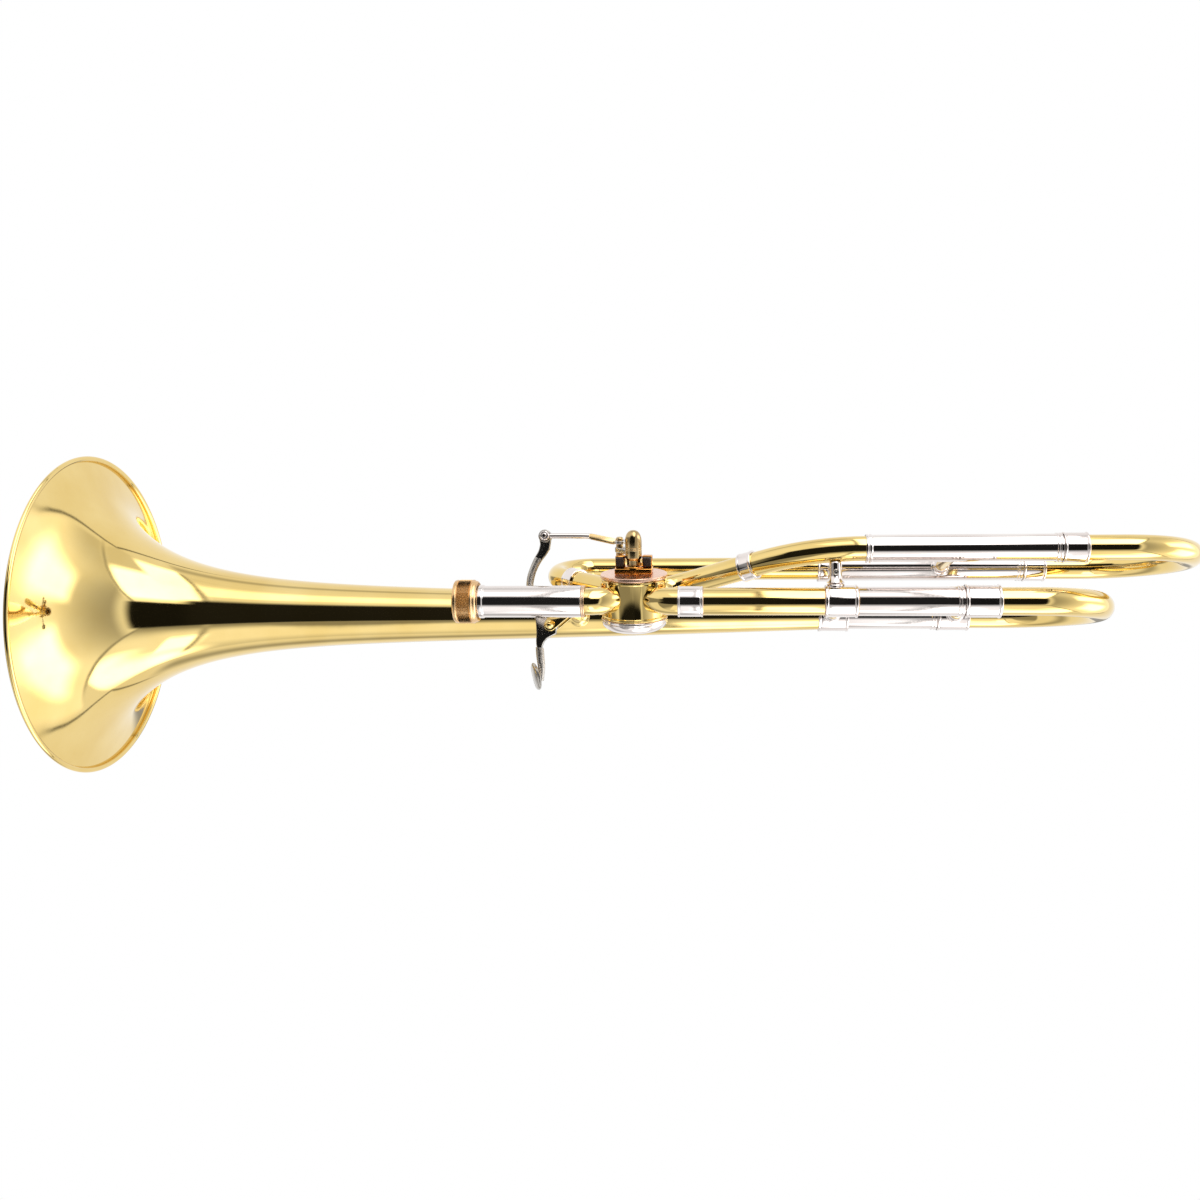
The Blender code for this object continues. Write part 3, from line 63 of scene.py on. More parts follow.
QUARTER = pi / 2
X_WAY = (1, 0, 0)
Y_WAY = (0, 1, 0)
Z_WAY = (0, 0, 1)

# Layout of the two tube lines, in millimetres
LEG_SPACING = 98
LEAN = radians(17)
LOOP_HEIGHT = LEG_SPACING * tan(LEAN)
WALL = 0.5

# Points closer than this, in metres, are one; corners flatter than this stay as they are
SEAM = 0.0000005
NEARLY_STRAIGHT = radians(165)

# Sizes of the patterns: waves to the metre in noise textures
DRIFT_SCALE, BUFFING_SCALE, GRAIN_SCALE = 28, 62, 1400


def linear(code):
    # An sRGB hex value as linear colour.
    parts = [int(code[i : i + 2], 16) / 255 for i in (1, 3, 5)]
    return [p / 12.92 if p <= 0.04045 else ((p + 0.055) / 1.055) ** 2.4 for p in parts] + [1]


def add(tree, kind, inputs=(), **settings):
    # Adds a node with its settings, its values and its links. A node that is given as an input
    # stands for its first output.
    made = tree.nodes.new(kind)
    for name, value in settings.items():
        setattr(made, name, value)
    for socket, value in dict(inputs).items():
        if isinstance(value, bpy.types.Node):
            value = value.outputs[0]
        if isinstance(value, bpy.types.NodeSocket):
            tree.links.new(value, made.inputs[socket])
        else:
            made.inputs[socket].default_value = value
    return made


# Materials

def new_material(name):
    made = bpy.data.materials.new(name)
    made.use_nodes = True
    return made, made.node_tree, made.node_tree.nodes["Principled BSDF"]


def metal(name, tone, deep, roughness, sheen_span, lines=((1, 1, 1), 1.6), ripple=0, coat=0):
    # A polished metal: slow drifts of tone, fine marks in the gloss, and the slight waves of
    # hand buffing. tone and deep are its lighter and darker colours, lines is the direction
    # and pitch in millimetres of the marks that the tool left, ripple the depth of the waves.
    made, tree, shader = new_material(name)
    shader.inputs["Metallic"].default_value = 1
    shader.inputs["Coat Weight"].default_value = coat
    shader.inputs["Coat Roughness"].default_value = 0.02
    place = add(tree, "ShaderNodeTexCoord").outputs["Object"]
    drift = add(tree, "ShaderNodeTexNoise", {"Vector": place, "Scale": DRIFT_SCALE, "Detail": 3})
    shade = add(tree, "ShaderNodeMapRange", {"Value": drift, "From Min": 0.35, "From Max": 0.68})
    colour = add(
        tree, "ShaderNodeMix",
        {"Factor": shade, 6: linear(deep), 7: linear(tone)},
        data_type="RGBA",
    )
    tree.links.new(colour.outputs[2], shader.inputs["Base Color"])
    stretch, pitch = lines
    marks_place = add(tree, "ShaderNodeMapping", {"Vector": place, "Scale": stretch})
    marks = add(
        tree, "ShaderNodeTexNoise",
        {"Vector": marks_place, "Scale": 1000 / pitch, "Detail": 2},
    )
    gloss = add(
        tree, "ShaderNodeMapRange",
        {
            "Value": marks, "From Min": 0.3, "From Max": 0.7,
            "To Min": roughness, "To Max": roughness + sheen_span,
        },
    )
    tree.links.new(gloss.outputs["Result"], shader.inputs["Roughness"])
    if ripple:
        waves = add(
            tree, "ShaderNodeTexNoise", {"Vector": place, "Scale": BUFFING_SCALE, "Detail": 1}
        )
        bump = add(
            tree, "ShaderNodeBump",
            {"Height": waves, "Strength": 1, "Distance": ripple * MM},
        )
        tree.links.new(bump.outputs["Normal"], shader.inputs["Normal"])
        tree.links.new(bump.outputs["Normal"], shader.inputs["Coat Normal"])
    return made


# Yellow brass, drawn and spun, buffed and clear lacquered: a mirror with a warm tone and a
# paler skin of gloss, its reflections a little wavy from the hand buffing.
yellow_brass = metal(
    "lacquered_yellow_brass", "#EBD08A", "#E4C67B", 0.035, 0.03, ripple=0.035, coat=0.15
)
# Inside and behind, the same brass keeps its drawing marks and is duller.
drawn_brass = metal("drawn_yellow_brass", "#D8BC68", "#B89748", 0.16, 0.12, ripple=0.03)
# Nickel silver, drawn and buffed: a whiter mirror with a faint rosy tint.
nickel_silver = metal(
    "buffed_nickel_silver", "#ECE5E1", "#E2D8D3", 0.05, 0.04, ripple=0.03, coat=0.25
)
# Nickel silver, turned on a lathe: fine rings round the axis soften the gloss a little.
turned_nickel = metal(
    "turned_nickel_silver", "#E9E0DA", "#D9CDC6", 0.09, 0.09, lines=((1, 0.05, 0.05), 0.35)
)
# Rose bronze, turned and knurled: warm brown orange, satin in the knurl.
rose_bronze = metal(
    "turned_rose_bronze", "#EBC796", "#DBB07A", 0.22, 0.12, lines=((1, 0.1, 0.1), 0.4)
)
# Copper plate over brass, satin turned: a soft pink with broad highlights.
copper_plate = metal("satin_copper_plate", "#F2CDB6", "#E6B79D", 0.24, 0.1, ripple=0.02)
# Gold brass, milled and polished: deep orange faces with dark reflections.
gold_brass = metal("milled_gold_brass", "#E8A550", "#D0842E", 0.08, 0.06, ripple=0.02)
# Brass, turned and plated in a pale champagne nickel: soft satin with fine rings.
champagne_nickel = metal(
    "champagne_nickel_plate", "#CBB182", "#A98C5E", 0.12, 0.1, lines=((0.05, 0.05, 1), 0.5)
)
# Nickel plated steel, filed and polished by hand: greyer, with broad soft streaks.
plated_steel = metal(
    "nickel_plated_steel", "#C9C4BD", "#A8A39B", 0.13, 0.1, lines=((1, 1, 0.12), 0.9),
    ripple=0.03,
)
# The same plated steel, rubbed satin along the lever: an even soft grey.
satin_steel = metal(
    "satin_plated_steel", "#D6D0C9", "#B4AEA6", 0.32, 0.12, lines=((1, 1, 0.12), 0.9)
)
# Silver solder, wiped at the seams: a thin pinkish line.
solder = metal("wiped_silver_solder", "#E9C7A6", "#D6AC84", 0.18, 0.15)


def cut_rubber():
    # Neoprene bumper, cut from sheet: near black brown, matt with a fine grain.
    made, tree, shader = new_material("cut_black_neoprene")
    place = add(tree, "ShaderNodeTexCoord").outputs["Object"]
    grain = add(tree, "ShaderNodeTexNoise", {"Vector": place, "Scale": GRAIN_SCALE, "Detail": 4})
    colour = add(
        tree, "ShaderNodeMix",
        {"Factor": grain, 6: linear("#1C120C"), 7: linear("#3A281D")},
        data_type="RGBA",
    )
    tree.links.new(colour.outputs[2], shader.inputs["Base Color"])
    shader.inputs["Roughness"].default_value = 0.55
    bump = add(tree, "ShaderNodeBump", {"Height": grain, "Strength": 0.5, "Distance": 0.1 * MM})
    tree.links.new(bump.outputs["Normal"], shader.inputs["Normal"])
    return made


neoprene = cut_rubber()


# Geometry trees

def new_tree(name, *sockets):
    # A tree with one mesh in, one mesh out, the named inputs and the finish.
    tree = bpy.data.node_groups.new(name, "GeometryNodeTree")
    tree.interface.new_socket("Guide", in_out="INPUT", socket_type="NodeSocketGeometry")
    for label, kind, value in sockets:
        made = tree.interface.new_socket(label, in_out="INPUT", socket_type=kind)
        made.default_value = value
    tree.interface.new_socket("Finish", in_out="INPUT", socket_type="NodeSocketMaterial")
    tree.interface.new_socket("Made", in_out="OUTPUT", socket_type="NodeSocketGeometry")
    given = tree.nodes.new("NodeGroupInput").outputs
    return tree, given, tree.nodes.new("NodeGroupOutput")


def close_tree(tree, given, end, geometry):
    # Every tree ends in plain geometry with its finish set.
    plain = add(tree, "GeometryNodeRealizeInstances", {"Geometry": geometry})
    finish = add(tree, "GeometryNodeSetMaterial", {"Geometry": plain, "Material": given["Finish"]})
    tree.links.new(finish.outputs[0], end.inputs[0])
    return tree


def lathe_tree():
    # Turns a profile, drawn as (along the axis, radius), round the X axis.
    tree, given, end = new_tree("lathe", ("Sides", "NodeSocketInt", 96))
    profile = given["Guide"]
    sides = given["Sides"]
    size = add(tree, "GeometryNodeAttributeDomainSize", {"Geometry": profile})
    rows = size.outputs["Point Count"]
    columns = add(tree, "ShaderNodeMath", {0: sides, 1: 1}, operation="ADD")
    sheet = add(tree, "GeometryNodeMeshGrid", {"Vertices X": columns, "Vertices Y": rows})
    index = add(tree, "GeometryNodeInputIndex")
    share = add(tree, "ShaderNodeMath", {0: index, 1: rows}, operation="DIVIDE")
    column = add(tree, "ShaderNodeMath", {0: share}, operation="FLOOR")
    row = add(tree, "ShaderNodeMath", {0: index, 1: rows}, operation="MODULO")
    whole_row = add(tree, "ShaderNodeMath", {0: row}, operation="ROUND")
    spot = add(
        tree, "GeometryNodeSampleIndex",
        {"Geometry": profile, "Value": add(tree, "GeometryNodeInputPosition"), "Index": whole_row},
        data_type="FLOAT_VECTOR",
    )
    step = add(tree, "ShaderNodeMath", {0: 2 * pi, 1: sides}, operation="DIVIDE")
    angle = add(tree, "ShaderNodeMath", {0: column, 1: step}, operation="MULTIPLY")
    turned = add(tree, "ShaderNodeVectorRotate", {"Vector": spot, "Axis": X_WAY, "Angle": angle})
    placed = add(tree, "GeometryNodeSetPosition", {"Geometry": sheet, "Position": turned})
    closed = add(tree, "GeometryNodeMergeByDistance", {"Geometry": placed, "Distance": 2 * SEAM})
    return close_tree(tree, given, end, closed)


def pipe_tree():
    # Draws a round tube along a path whose points carry their own girth.
    tree, given, end = new_tree("drawn_tube", ("Sides", "NodeSocketInt", 64))
    line = add(tree, "GeometryNodeMeshToCurve", {"Mesh": given["Guide"]})
    girth = add(tree, "GeometryNodeInputNamedAttribute", {"Name": "girth"}, data_type="FLOAT")
    ring = add(
        tree, "GeometryNodeCurvePrimitiveCircle",
        {"Resolution": given["Sides"], "Radius": 1},
    )
    tube = add(
        tree, "GeometryNodeCurveToMesh",
        {"Curve": line, "Profile Curve": ring, "Scale": girth},
    )
    return close_tree(tree, given, end, tube)


def ring_tree():
    # Sets copies of a small guide shape in a ring round the X axis.
    tree, given, end = new_tree(
        "ring_of_teeth", ("Count", "NodeSocketInt", 60), ("Radius", "NodeSocketFloat", 0.01)
    )
    ring = add(
        tree, "GeometryNodeMeshCircle",
        {"Vertices": given["Count"], "Radius": given["Radius"]},
    )
    upright = add(tree, "GeometryNodeTransform", {"Geometry": ring, "Rotation": (0, QUARTER, 0)})
    facing = add(
        tree, "FunctionNodeAlignRotationToVector",
        {"Vector": add(tree, "GeometryNodeInputPosition")},
        axis="Z", pivot_axis="X",
    )
    teeth = add(
        tree, "GeometryNodeInstanceOnPoints",
        {"Points": upright, "Instance": given["Guide"], "Rotation": facing},
    )
    return close_tree(tree, given, end, teeth)


def coil_tree():
    # Winds a wire round the Z axis.
    tree, given, end = new_tree(
        "wound_spring", ("Turns", "NodeSocketFloat", 3.5), ("Radius", "NodeSocketFloat", 0.003),
        ("Height", "NodeSocketFloat", 0.004), ("Wire", "NodeSocketFloat", 0.0004),
    )
    spiral = add(
        tree, "GeometryNodeCurveSpiral",
        {
            "Resolution": 40,
            "Rotations": given["Turns"],
            "Start Radius": given["Radius"],
            "End Radius": given["Radius"],
            "Height": given["Height"],
            "Reverse": True,
        },
    )
    ring = add(
        tree, "GeometryNodeCurvePrimitiveCircle",
        {"Resolution": 12, "Radius": given["Wire"]},
    )
    wire = add(
        tree, "GeometryNodeCurveToMesh",
        {"Curve": spiral, "Profile Curve": ring, "Fill Caps": True},
    )
    return close_tree(tree, given, end, wire)


LATHE = lathe_tree()
DRAWN_TUBE = pipe_tree()
RING_OF_TEETH = ring_tree()
WOUND_SPRING = coil_tree()


# Making pieces

def shown(name, data):
    # A new object in the scene.
    item = bpy.data.objects.new(name, data)
    bpy.context.scene.collection.objects.link(item)
    return item


def plain_mesh(item):
    # The evaluated mesh of an object, after which the object is gone.
    bpy.context.view_layer.update()
    graph = bpy.context.evaluated_depsgraph_get()
    mesh = bpy.data.meshes.new_from_object(item.evaluated_get(graph))
    bpy.data.objects.remove(item, do_unlink=True)
    return mesh


def grown(guide, tree, **values):
    # Runs a geometry tree on a guide mesh and returns the plain mesh.
    item = shown("guide", guide)
    step = item.modifiers.new("tree", "NODES")
    step.node_group = tree
    for entry in tree.interface.items_tree:
        if entry.in_out == "INPUT" and entry.name in values:
            step[entry.identifier] = values[entry.name]
    return plain_mesh(item)


def tidied(mesh, matrix=None, sharp=35, outward=True):
    # Closes seams, points the faces outwards and shades the mesh smooth up to its edges.
    work = bmesh.new()
    work.from_mesh(mesh)
    bmesh.ops.remove_doubles(work, verts=work.verts, dist=SEAM)
    bmesh.ops.dissolve_degenerate(work, edges=work.edges, dist=SEAM)
    if outward:
        bmesh.ops.recalc_face_normals(work, faces=work.faces)
    if matrix is not None:
        work.transform(matrix)
    work.to_mesh(mesh)
    work.free()
    mesh.shade_smooth()
    mesh.set_sharp_from_angle(angle=radians(sharp))
    return mesh


def built(work, finish):
    # The mesh of a shape made face by face, pointing outwards and in its finish.
    bmesh.ops.recalc_face_normals(work, faces=work.faces)
    mesh = bpy.data.meshes.new("part")
    work.to_mesh(mesh)
    work.free()
    mesh.materials.append(finish)
    return mesh


def walls(work, rings):
    # Faces between rings of points that follow one another.
    for low, high in zip(rings, rings[1:]):
        for i in range(len(low)):
            j = (i + 1) % len(low)
            work.faces.new((low[i], low[j], high[j], high[i]))


def placed(x, y, z, *turns):
    # A frame at a spot in millimetres, with turns of an angle about an axis.
    frame = Matrix.Translation(Vector((x, y, z)) * MM)
    for angle, axis in turns:
        frame = frame @ Matrix.Rotation(angle, 4, axis)
    return frame


def aimed(spot, way):
    # Puts a piece that was made along X at a spot, in millimetres, and turns it to a direction.
    return placed(*spot) @ Vector(way).to_track_quat("X", "Z").to_matrix().to_4x4()


def arc(centre, radius, first, last, steps):
    # Points along an arc, from one angle to another.
    return [
        (centre[0] + radius * cos(turn), centre[1] + radius * sin(turn))
        for turn in np.linspace(first, last, steps + 1)
    ]


def eased(points, size, closed=True, steps=3):
    # Rounds the corners of a line of (x, y) points.
    count = len(points)
    made = []
    for i, point in enumerate(points):
        here = Vector(point)
        if not closed and i in (0, count - 1):
            made.append(here)
            continue
        before = Vector(points[i - 1]) - here
        after = Vector(points[(i + 1) % count]) - here
        if before.angle(after) > NEARLY_STRAIGHT:
            made.append(here)
            continue
        reach = min(size, before.length * 0.45, after.length * 0.45)
        first = here + before.normalized() * reach
        last = here + after.normalized() * reach
        for j in range(steps + 1):
            t = j / steps
            made.append(first * (1 - t) ** 2 + here * (2 * t * (1 - t)) + last * t**2)
    return [(p[0], p[1]) for p in made]


def line_mesh(points, girths=None):
    # A guide mesh of points in millimetres, joined in a row.
    mesh = bpy.data.meshes.new("guide")
    spots = [tuple(c * MM for c in (*p, 0)[:3]) for p in points]
    mesh.from_pydata(spots, [(i, i + 1) for i in range(len(spots) - 1)], [])
    if girths is not None:
        values = mesh.attributes.new("girth", "FLOAT", "POINT")
        values.data.foreach_set("value", np.array(girths, np.float32) * MM)
    return mesh


def lathe(profile, finish, spot=(0, 0, 0), way=X_WAY, sides=96, ease=0.15):
    # A turned mesh from a profile of (along, radius) points. A profile that starts on the axis
    # also ends there; any other is closed back to its first point.
    closed = profile[0][1] > 0.001
    outline = eased(profile, ease, closed) if ease else list(profile)
    if closed:
        outline.append(outline[0])
    return tidied(grown(line_mesh(outline), LATHE, Sides=sides, Finish=finish), aimed(spot, way))


def pipe(path, girths, finish, sides=72, wall=WALL):
    # A drawn tube with its wall, open at both ends.
    tube = tidied(grown(line_mesh(path, girths), DRAWN_TUBE, Sides=sides, Finish=finish))
    if not wall:
        return tube
    item = shown("tube", tube)
    step = item.modifiers.new("wall", "SOLIDIFY")
    step.thickness = wall * MM
    step.offset = -1
    return tidied(plain_mesh(item), outward=False)


def rod(path, girth, finish, sides=32):
    # A solid round bar with closed ends.
    first = (Vector(path[1]) - Vector(path[0])).normalized() * 0.02
    last = (Vector(path[-1]) - Vector(path[-2])).normalized() * 0.02
    ends = [Vector(path[0]) - first, *path, Vector(path[-1]) + last]
    return pipe(ends, [0.01, *[girth] * len(path), 0.01], finish, sides, 0)


def slab(outline, thickness, finish, matrix, ease=0.4, steps=3, hole=None):
    # A plate with soft edges, from an outline in its own XY plane, and where asked one hole
    # that has as many points as the outline.
    work = bmesh.new()

    def ring(points, height):
        return [work.verts.new((p[0] * MM, p[1] * MM, height * MM)) for p in points]

    low, high = ring(outline, -thickness / 2), ring(outline, thickness / 2)
    walls(work, [low, high])
    if hole:
        low_hole, high_hole = ring(hole, -thickness / 2), ring(hole, thickness / 2)
        for i in range(len(hole)):
            j = (i + 1) % len(hole)
            work.faces.new((high[i], high[j], high_hole[j], high_hole[i]))
            work.faces.new((low[j], low[i], low_hole[i], low_hole[j]))
            work.faces.new((low_hole[j], low_hole[i], high_hole[i], high_hole[j]))
    else:
        work.faces.new(high)
        work.faces.new(low[::-1])
    item = shown("slab", built(work, finish))
    step = item.modifiers.new("edges", "BEVEL")
    step.width = ease * MM
    step.segments = steps
    step.limit_method = "ANGLE"
    step.angle_limit = radians(40)
    return tidied(plain_mesh(item), matrix, sharp=50)


def piece(name, nodes, meshes, body="section"):
    # Joins meshes into one piece that rides on a body and stands for the named nodes.
    work = bmesh.new()
    finishes = []
    for mesh in meshes if isinstance(meshes, list) else [meshes]:
        places = []
        for finish in mesh.materials:
            if finish not in finishes:
                finishes.append(finish)
            places.append(finishes.index(finish))
        had = len(work.faces)
        work.from_mesh(mesh)
        work.faces.ensure_lookup_table()
        for face in work.faces[had:]:
            face.material_index = places[face.material_index]
    made = bpy.data.meshes.new(name)
    work.to_mesh(made)
    work.free()
    for finish in finishes:
        made.materials.append(finish)
    item = shown(name, made)
    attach(item, body)
    if nodes:
        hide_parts(*nodes.split())


# Paths

def rounded_path(corners, radii, step_degrees=3, gap=6):
    # Straight runs joined by arcs at the inner corners, as a line of close points.
    corners = [Vector(corner) for corner in corners]
    path = [corners[0]]

    def run_to(point):
        here = path[-1]
        steps = max(1, round((point - here).length / gap))
        path.extend(here.lerp(point, k / steps) for k in range(1, steps + 1))

    for i, radius in enumerate(radii):
        corner = corners[i + 1]
        inward = (corner - corners[i]).normalized()
        outward = (corners[i + 2] - corner).normalized()
        bend = inward.angle(outward)
        start = corner - inward * (radius * tan(bend / 2))
        centre = corner + (outward - inward).normalized() * (radius / cos(bend / 2))
        arm = start - centre
        if (start - path[-1]).length > 0.01:
            run_to(start)
        steps = max(2, round(degrees(bend) / step_degrees))
        for j in range(1, steps + 1):
            turn = bend * j / steps
            path.append(centre + arm * cos(turn) + inward * (radius * sin(turn)))
    if (corners[-1] - path[-1]).length > 0.01:
        run_to(corners[-1])
    return [tuple(p) for p in path]


def bow_path(start, end, z):
    # Out along the near line, round a half circle and back along the far line.
    corners = [(start, 0, z), (end, 0, z), (end, LEG_SPACING, z), (start, LEG_SPACING, z)]
    return rounded_path(corners, [LEG_SPACING / 2] * 2)


def brass_tube(name, node, path, radius, end_radius=None, body="section"):
    # A bent brass tube along a path, its girth changing evenly along its length.
    run = [0]
    for before, after in zip(path, path[1:]):
        run.append(run[-1] + (Vector(after) - Vector(before)).length)
    grow = (end_radius or radius) - radius
    girths = [radius + grow * d / run[-1] for d in run]
    piece(name, node, pipe(path, girths, yellow_brass), body=body)


# Valve frame: u along X, v away from the viewer, h along the leaning axis
VALVE = Vector((88.5, 18, 18 * tan(LEAN)))
H_WAY = (0, -sin(LEAN), cos(LEAN))


def valve_point(u, v, h):
    return (
        VALVE.x + u,
        VALVE.y + v * cos(LEAN) - h * sin(LEAN),
        VALVE.z + v * sin(LEAN) + h * cos(LEAN),
    )


def on_valve(h):
    # The valve frame at one height, for plates drawn in u and v.
    return placed(*valve_point(0, 0, h), (LEAN, "X"))


def valve_lathe(profile, finish, sides=128, ease=0.2):
    # profile is (height, radius)
    return lathe(profile, finish, tuple(VALVE), H_WAY, sides, ease)


# Bell: spun flare and stem in one sheet, rolled over a wire at the rim
BELL_MOUTH_X = -290
BELL_LENGTH = 497
BELL_STATIONS = [
    (0.6, 105.9), (2.2, 100.6), (5.2, 92.5), (10.5, 81.2), (18.5, 69.4), (29, 58.6),
    (44, 48.6), (66, 38.5), (90, 30.7), (118, 25.3), (160, 21.5), (225, 18.2),
    (320, 14.9), (430, 11.5), (487, 9.3), (497, 9.05),
]
CURL = 1.45


def bell_sheet():
    # The bell follows one smooth rule: radius against depth, both as logarithms.
    depth, radius = np.array(BELL_STATIONS).T
    weight = np.ones(len(depth))
    weight[0] = 4
    rule = np.polyfit(np.log(depth + 12), np.log(radius), 6, w=weight)
    share = np.linspace(0, 1, 150)
    along = 0.7 + (BELL_LENGTH - 0.7) * share**2.2
    line = np.exp(np.polyval(rule, np.log(along + 12)))
    return list(zip(along[::-1], line[::-1]))


def thick_line(line, wall):
    # A closed outline round a line of (along, radius) points.
    outer, inner = [], []
    for i, here in enumerate(line):
        before = Vector(line[max(0, i - 1)])
        after = Vector(line[min(len(line) - 1, i + 1)])
        way = (after - before).normalized()
        side = Vector((way.y, -way.x)) * (wall / 2)
        outer.append((here[0] + side.x, here[1] + side.y))
        inner.append((here[0] - side.x, here[1] - side.y))
    return outer + inner[::-1]


bell_line = bell_sheet()
rim_edge = Vector(bell_line[-1])
slope = atan2(rim_edge.y - bell_line[-2][1], rim_edge.x - bell_line[-2][0])
curl_centre = rim_edge + Vector((cos(slope - QUARTER), sin(slope - QUARTER))) * CURL
curl_start = slope + QUARTER
bell_line += arc(curl_centre, CURL, curl_start, curl_start - radians(320), 28)[1:]
piece(
    "bell_body", "bell_flare bell_throat bell_stem bell_rim_wire",
    lathe(thick_line(bell_line, WALL), yellow_brass, (BELL_MOUTH_X, LEG_SPACING, 0),
          sides=192, ease=0),
)


def ferrule(start, end, radius, bore, y=0, z=0, bead=0.4, width=1.5):
    # A turned sleeve with a rounded bead at each end and a fine groove behind each bead.
    half = [
        (0, bore), (0, radius + bead * 0.4), (0.35, radius + bead),
        (width - 0.35, radius + bead), (width, radius + 0.02),
        (width + 0.25, radius - 0.12), (width + 0.5, radius),
    ]
    profile = half + [(end - start - along, girth) for along, girth in half[::-1]]
    return lathe(profile, nickel_silver, (start, y, z), ease=0.12)


def seam(x, radius, y=0, z=0, width=0.35):
    # A thin wiped line of solder where a ferrule ends on a tube.
    profile = [(-width, radius - 0.3), (-width, radius + 0.03), (0, radius + 0.2),
               (width, radius + 0.03), (width, radius - 0.3)]
    return lathe(profile, solder, (x, y, z), ease=0.1)


def straight_tube(start, end, radius, finish, y=0, z=0):
    run = end - start
    profile = [(0, radius - WALL), (0, radius), (run, radius), (run, radius - WALL)]
    return lathe(profile, finish, (start, y, z), ease=0.12)


def outer_slide(start, end, radius, y, z, socket=0):
    # The outer tube of a slide, with a double ring at its open end.
    length = end - start
    profile = [(0, radius - WALL), (0, radius)]
    if socket:
        profile = [
            (0, radius - WALL), (0, radius + 0.35), (1, radius + 0.5),
            (1.4, radius + 0.15), (1.9, radius + 0.15), (2.3, radius + 0.5),
            (socket - 0.3, radius + 0.45), (socket + 0.2, radius),
        ]
    ring = length - 3.6
    profile += [
        (ring, radius), (ring + 0.3, radius + 0.5), (ring + 1.2, radius + 0.5),
        (ring + 1.5, radius + 0.1), (ring + 1.9, radius + 0.1), (ring + 2.2, radius + 0.5),
        (length - 0.2, radius + 0.5), (length, radius + 0.2), (length, radius - WALL),
    ]
    return lathe(profile, nickel_silver, (start, y, z), ease=0.12)


# Receiver and its knurled nut
receiver = [
    (-8, 8.1), (-8, 10.6), (-5.8, 10.6), (-5.8, 8.9), (0, 8.9), (0, 9.7), (2.4, 9.7),
    (3, 9.25), (3.4, 9.2), (59.6, 9.2), (59.6, 7.7),
]
piece("receiver_tube", "slide_receiver", lathe(receiver, nickel_silver, ease=0.2))
nut = [
    (-14.3, 11.3), (-14.3, 11.9), (-13.7, 12.5), (-12.3, 12.7), (-11.9, 12.4), (-11.7, 12.1),
    (-4.2, 12.1), (-4, 12.4), (-3.6, 12.75), (-2.9, 12.75), (-2.5, 12.2), (-1.2, 11.9),
    (-0.6, 11.2), (-0.6, 9.3), (-5.5, 9.3), (-5.5, 11.3),
]
TOOTH_END, TOOTH_SIDE, TOOTH_FOOT, TOOTH_RISE = 3.7, 0.43, -0.2, 0.42
tooth = bpy.data.meshes.new("tooth")
tooth.from_pydata(
    [
        Vector(corner) * MM
        for corner in (
            (-TOOTH_END, -TOOTH_SIDE, TOOTH_FOOT), (TOOTH_END, -TOOTH_SIDE, TOOTH_FOOT),
            (TOOTH_END, TOOTH_SIDE, TOOTH_FOOT), (-TOOTH_END, TOOTH_SIDE, TOOTH_FOOT),
            (0.3 - TOOTH_END, 0, TOOTH_RISE), (TOOTH_END - 0.3, 0, TOOTH_RISE),
        )
    ],
    [],
    [(0, 3, 2, 1), (0, 1, 5, 4), (2, 3, 4, 5), (1, 2, 5), (3, 0, 4)],
)
knurl = tidied(
    grown(tooth, RING_OF_TEETH, Count=92, Radius=12.3 * MM, Finish=rose_bronze),
    placed(-7.95, 0, 0), sharp=25,
)
piece("receiver_nut", "slide_nut", [lathe(nut, rose_bronze, ease=0.25), knurl], "nut")
collar = [(59.8, 7.5), (59.8, 9.2), (60.2, 9.35), (60.5, 9.1), (60.9, 9.1), (61.2, 9.35),
          (61.7, 9.3), (61.8, 9), (61.8, 7.5)]
piece("receiver_end_collar", "receiver_collar", lathe(collar, solder, ease=0.1))

# Near line
piece("neckpipe_tube", "neckpipe", straight_tube(123, 207, 7.85, yellow_brass))
piece(
    "neckpipe_front_sleeve", "neckpipe_ferrule_front",
    [ferrule(115.1, 129.3, 8.7, 8, bead=0.25, width=1.1), seam(129.5, 7.85)],
)
piece(
    "neckpipe_rear_sleeve", "neckpipe_ferrule_rear",
    [ferrule(198, 216, 9, 8), seam(197.8, 7.85), seam(216.2, 8.2)],
)
piece("near_outer_slide", "main_outer_near", outer_slide(207.3, 274.2, 8.2, 0, 0))

# Far line
piece(
    "bell_tail_sleeve", "bell_ferrule",
    [ferrule(200.3, 219, 10.3, 9, LEG_SPACING), seam(200.1, 9.3, LEG_SPACING)],
)
piece("far_outer_slide", "main_outer_far", outer_slide(207.3, 274.2, 8.9, LEG_SPACING, 0))

# Main tuning slide
for side, y, leg, sleeve, bow in (("near", 0, 7.4, 9.1, 7.87), ("far", LEG_SPACING, 8.1, 9.6, 8.3)):
    piece(
        side + "_inner_slide", "main_leg_" + side,
        straight_tube(223, 280.7, leg, turned_nickel, y), "main_slide",
    )
    piece(
        side + "_bow_sleeve", "main_ferrule_" + side,
        [ferrule(274.5, 293.9, sleeve, leg, y), seam(294.1, bow, y)], "main_slide",
    )
brass_tube("main_bow_tube", "main_bow", bow_path(281, 359, 0), 7.85, 8.3, "main_slide")

# Knuckles of the valve
DIAGONAL = sqrt(0.5)
CASING_REACH = 16.8


def diagonal_point(distance, u_way, v_way):
    return valve_point(distance * DIAGONAL * u_way, distance * DIAGONAL * v_way, 0)


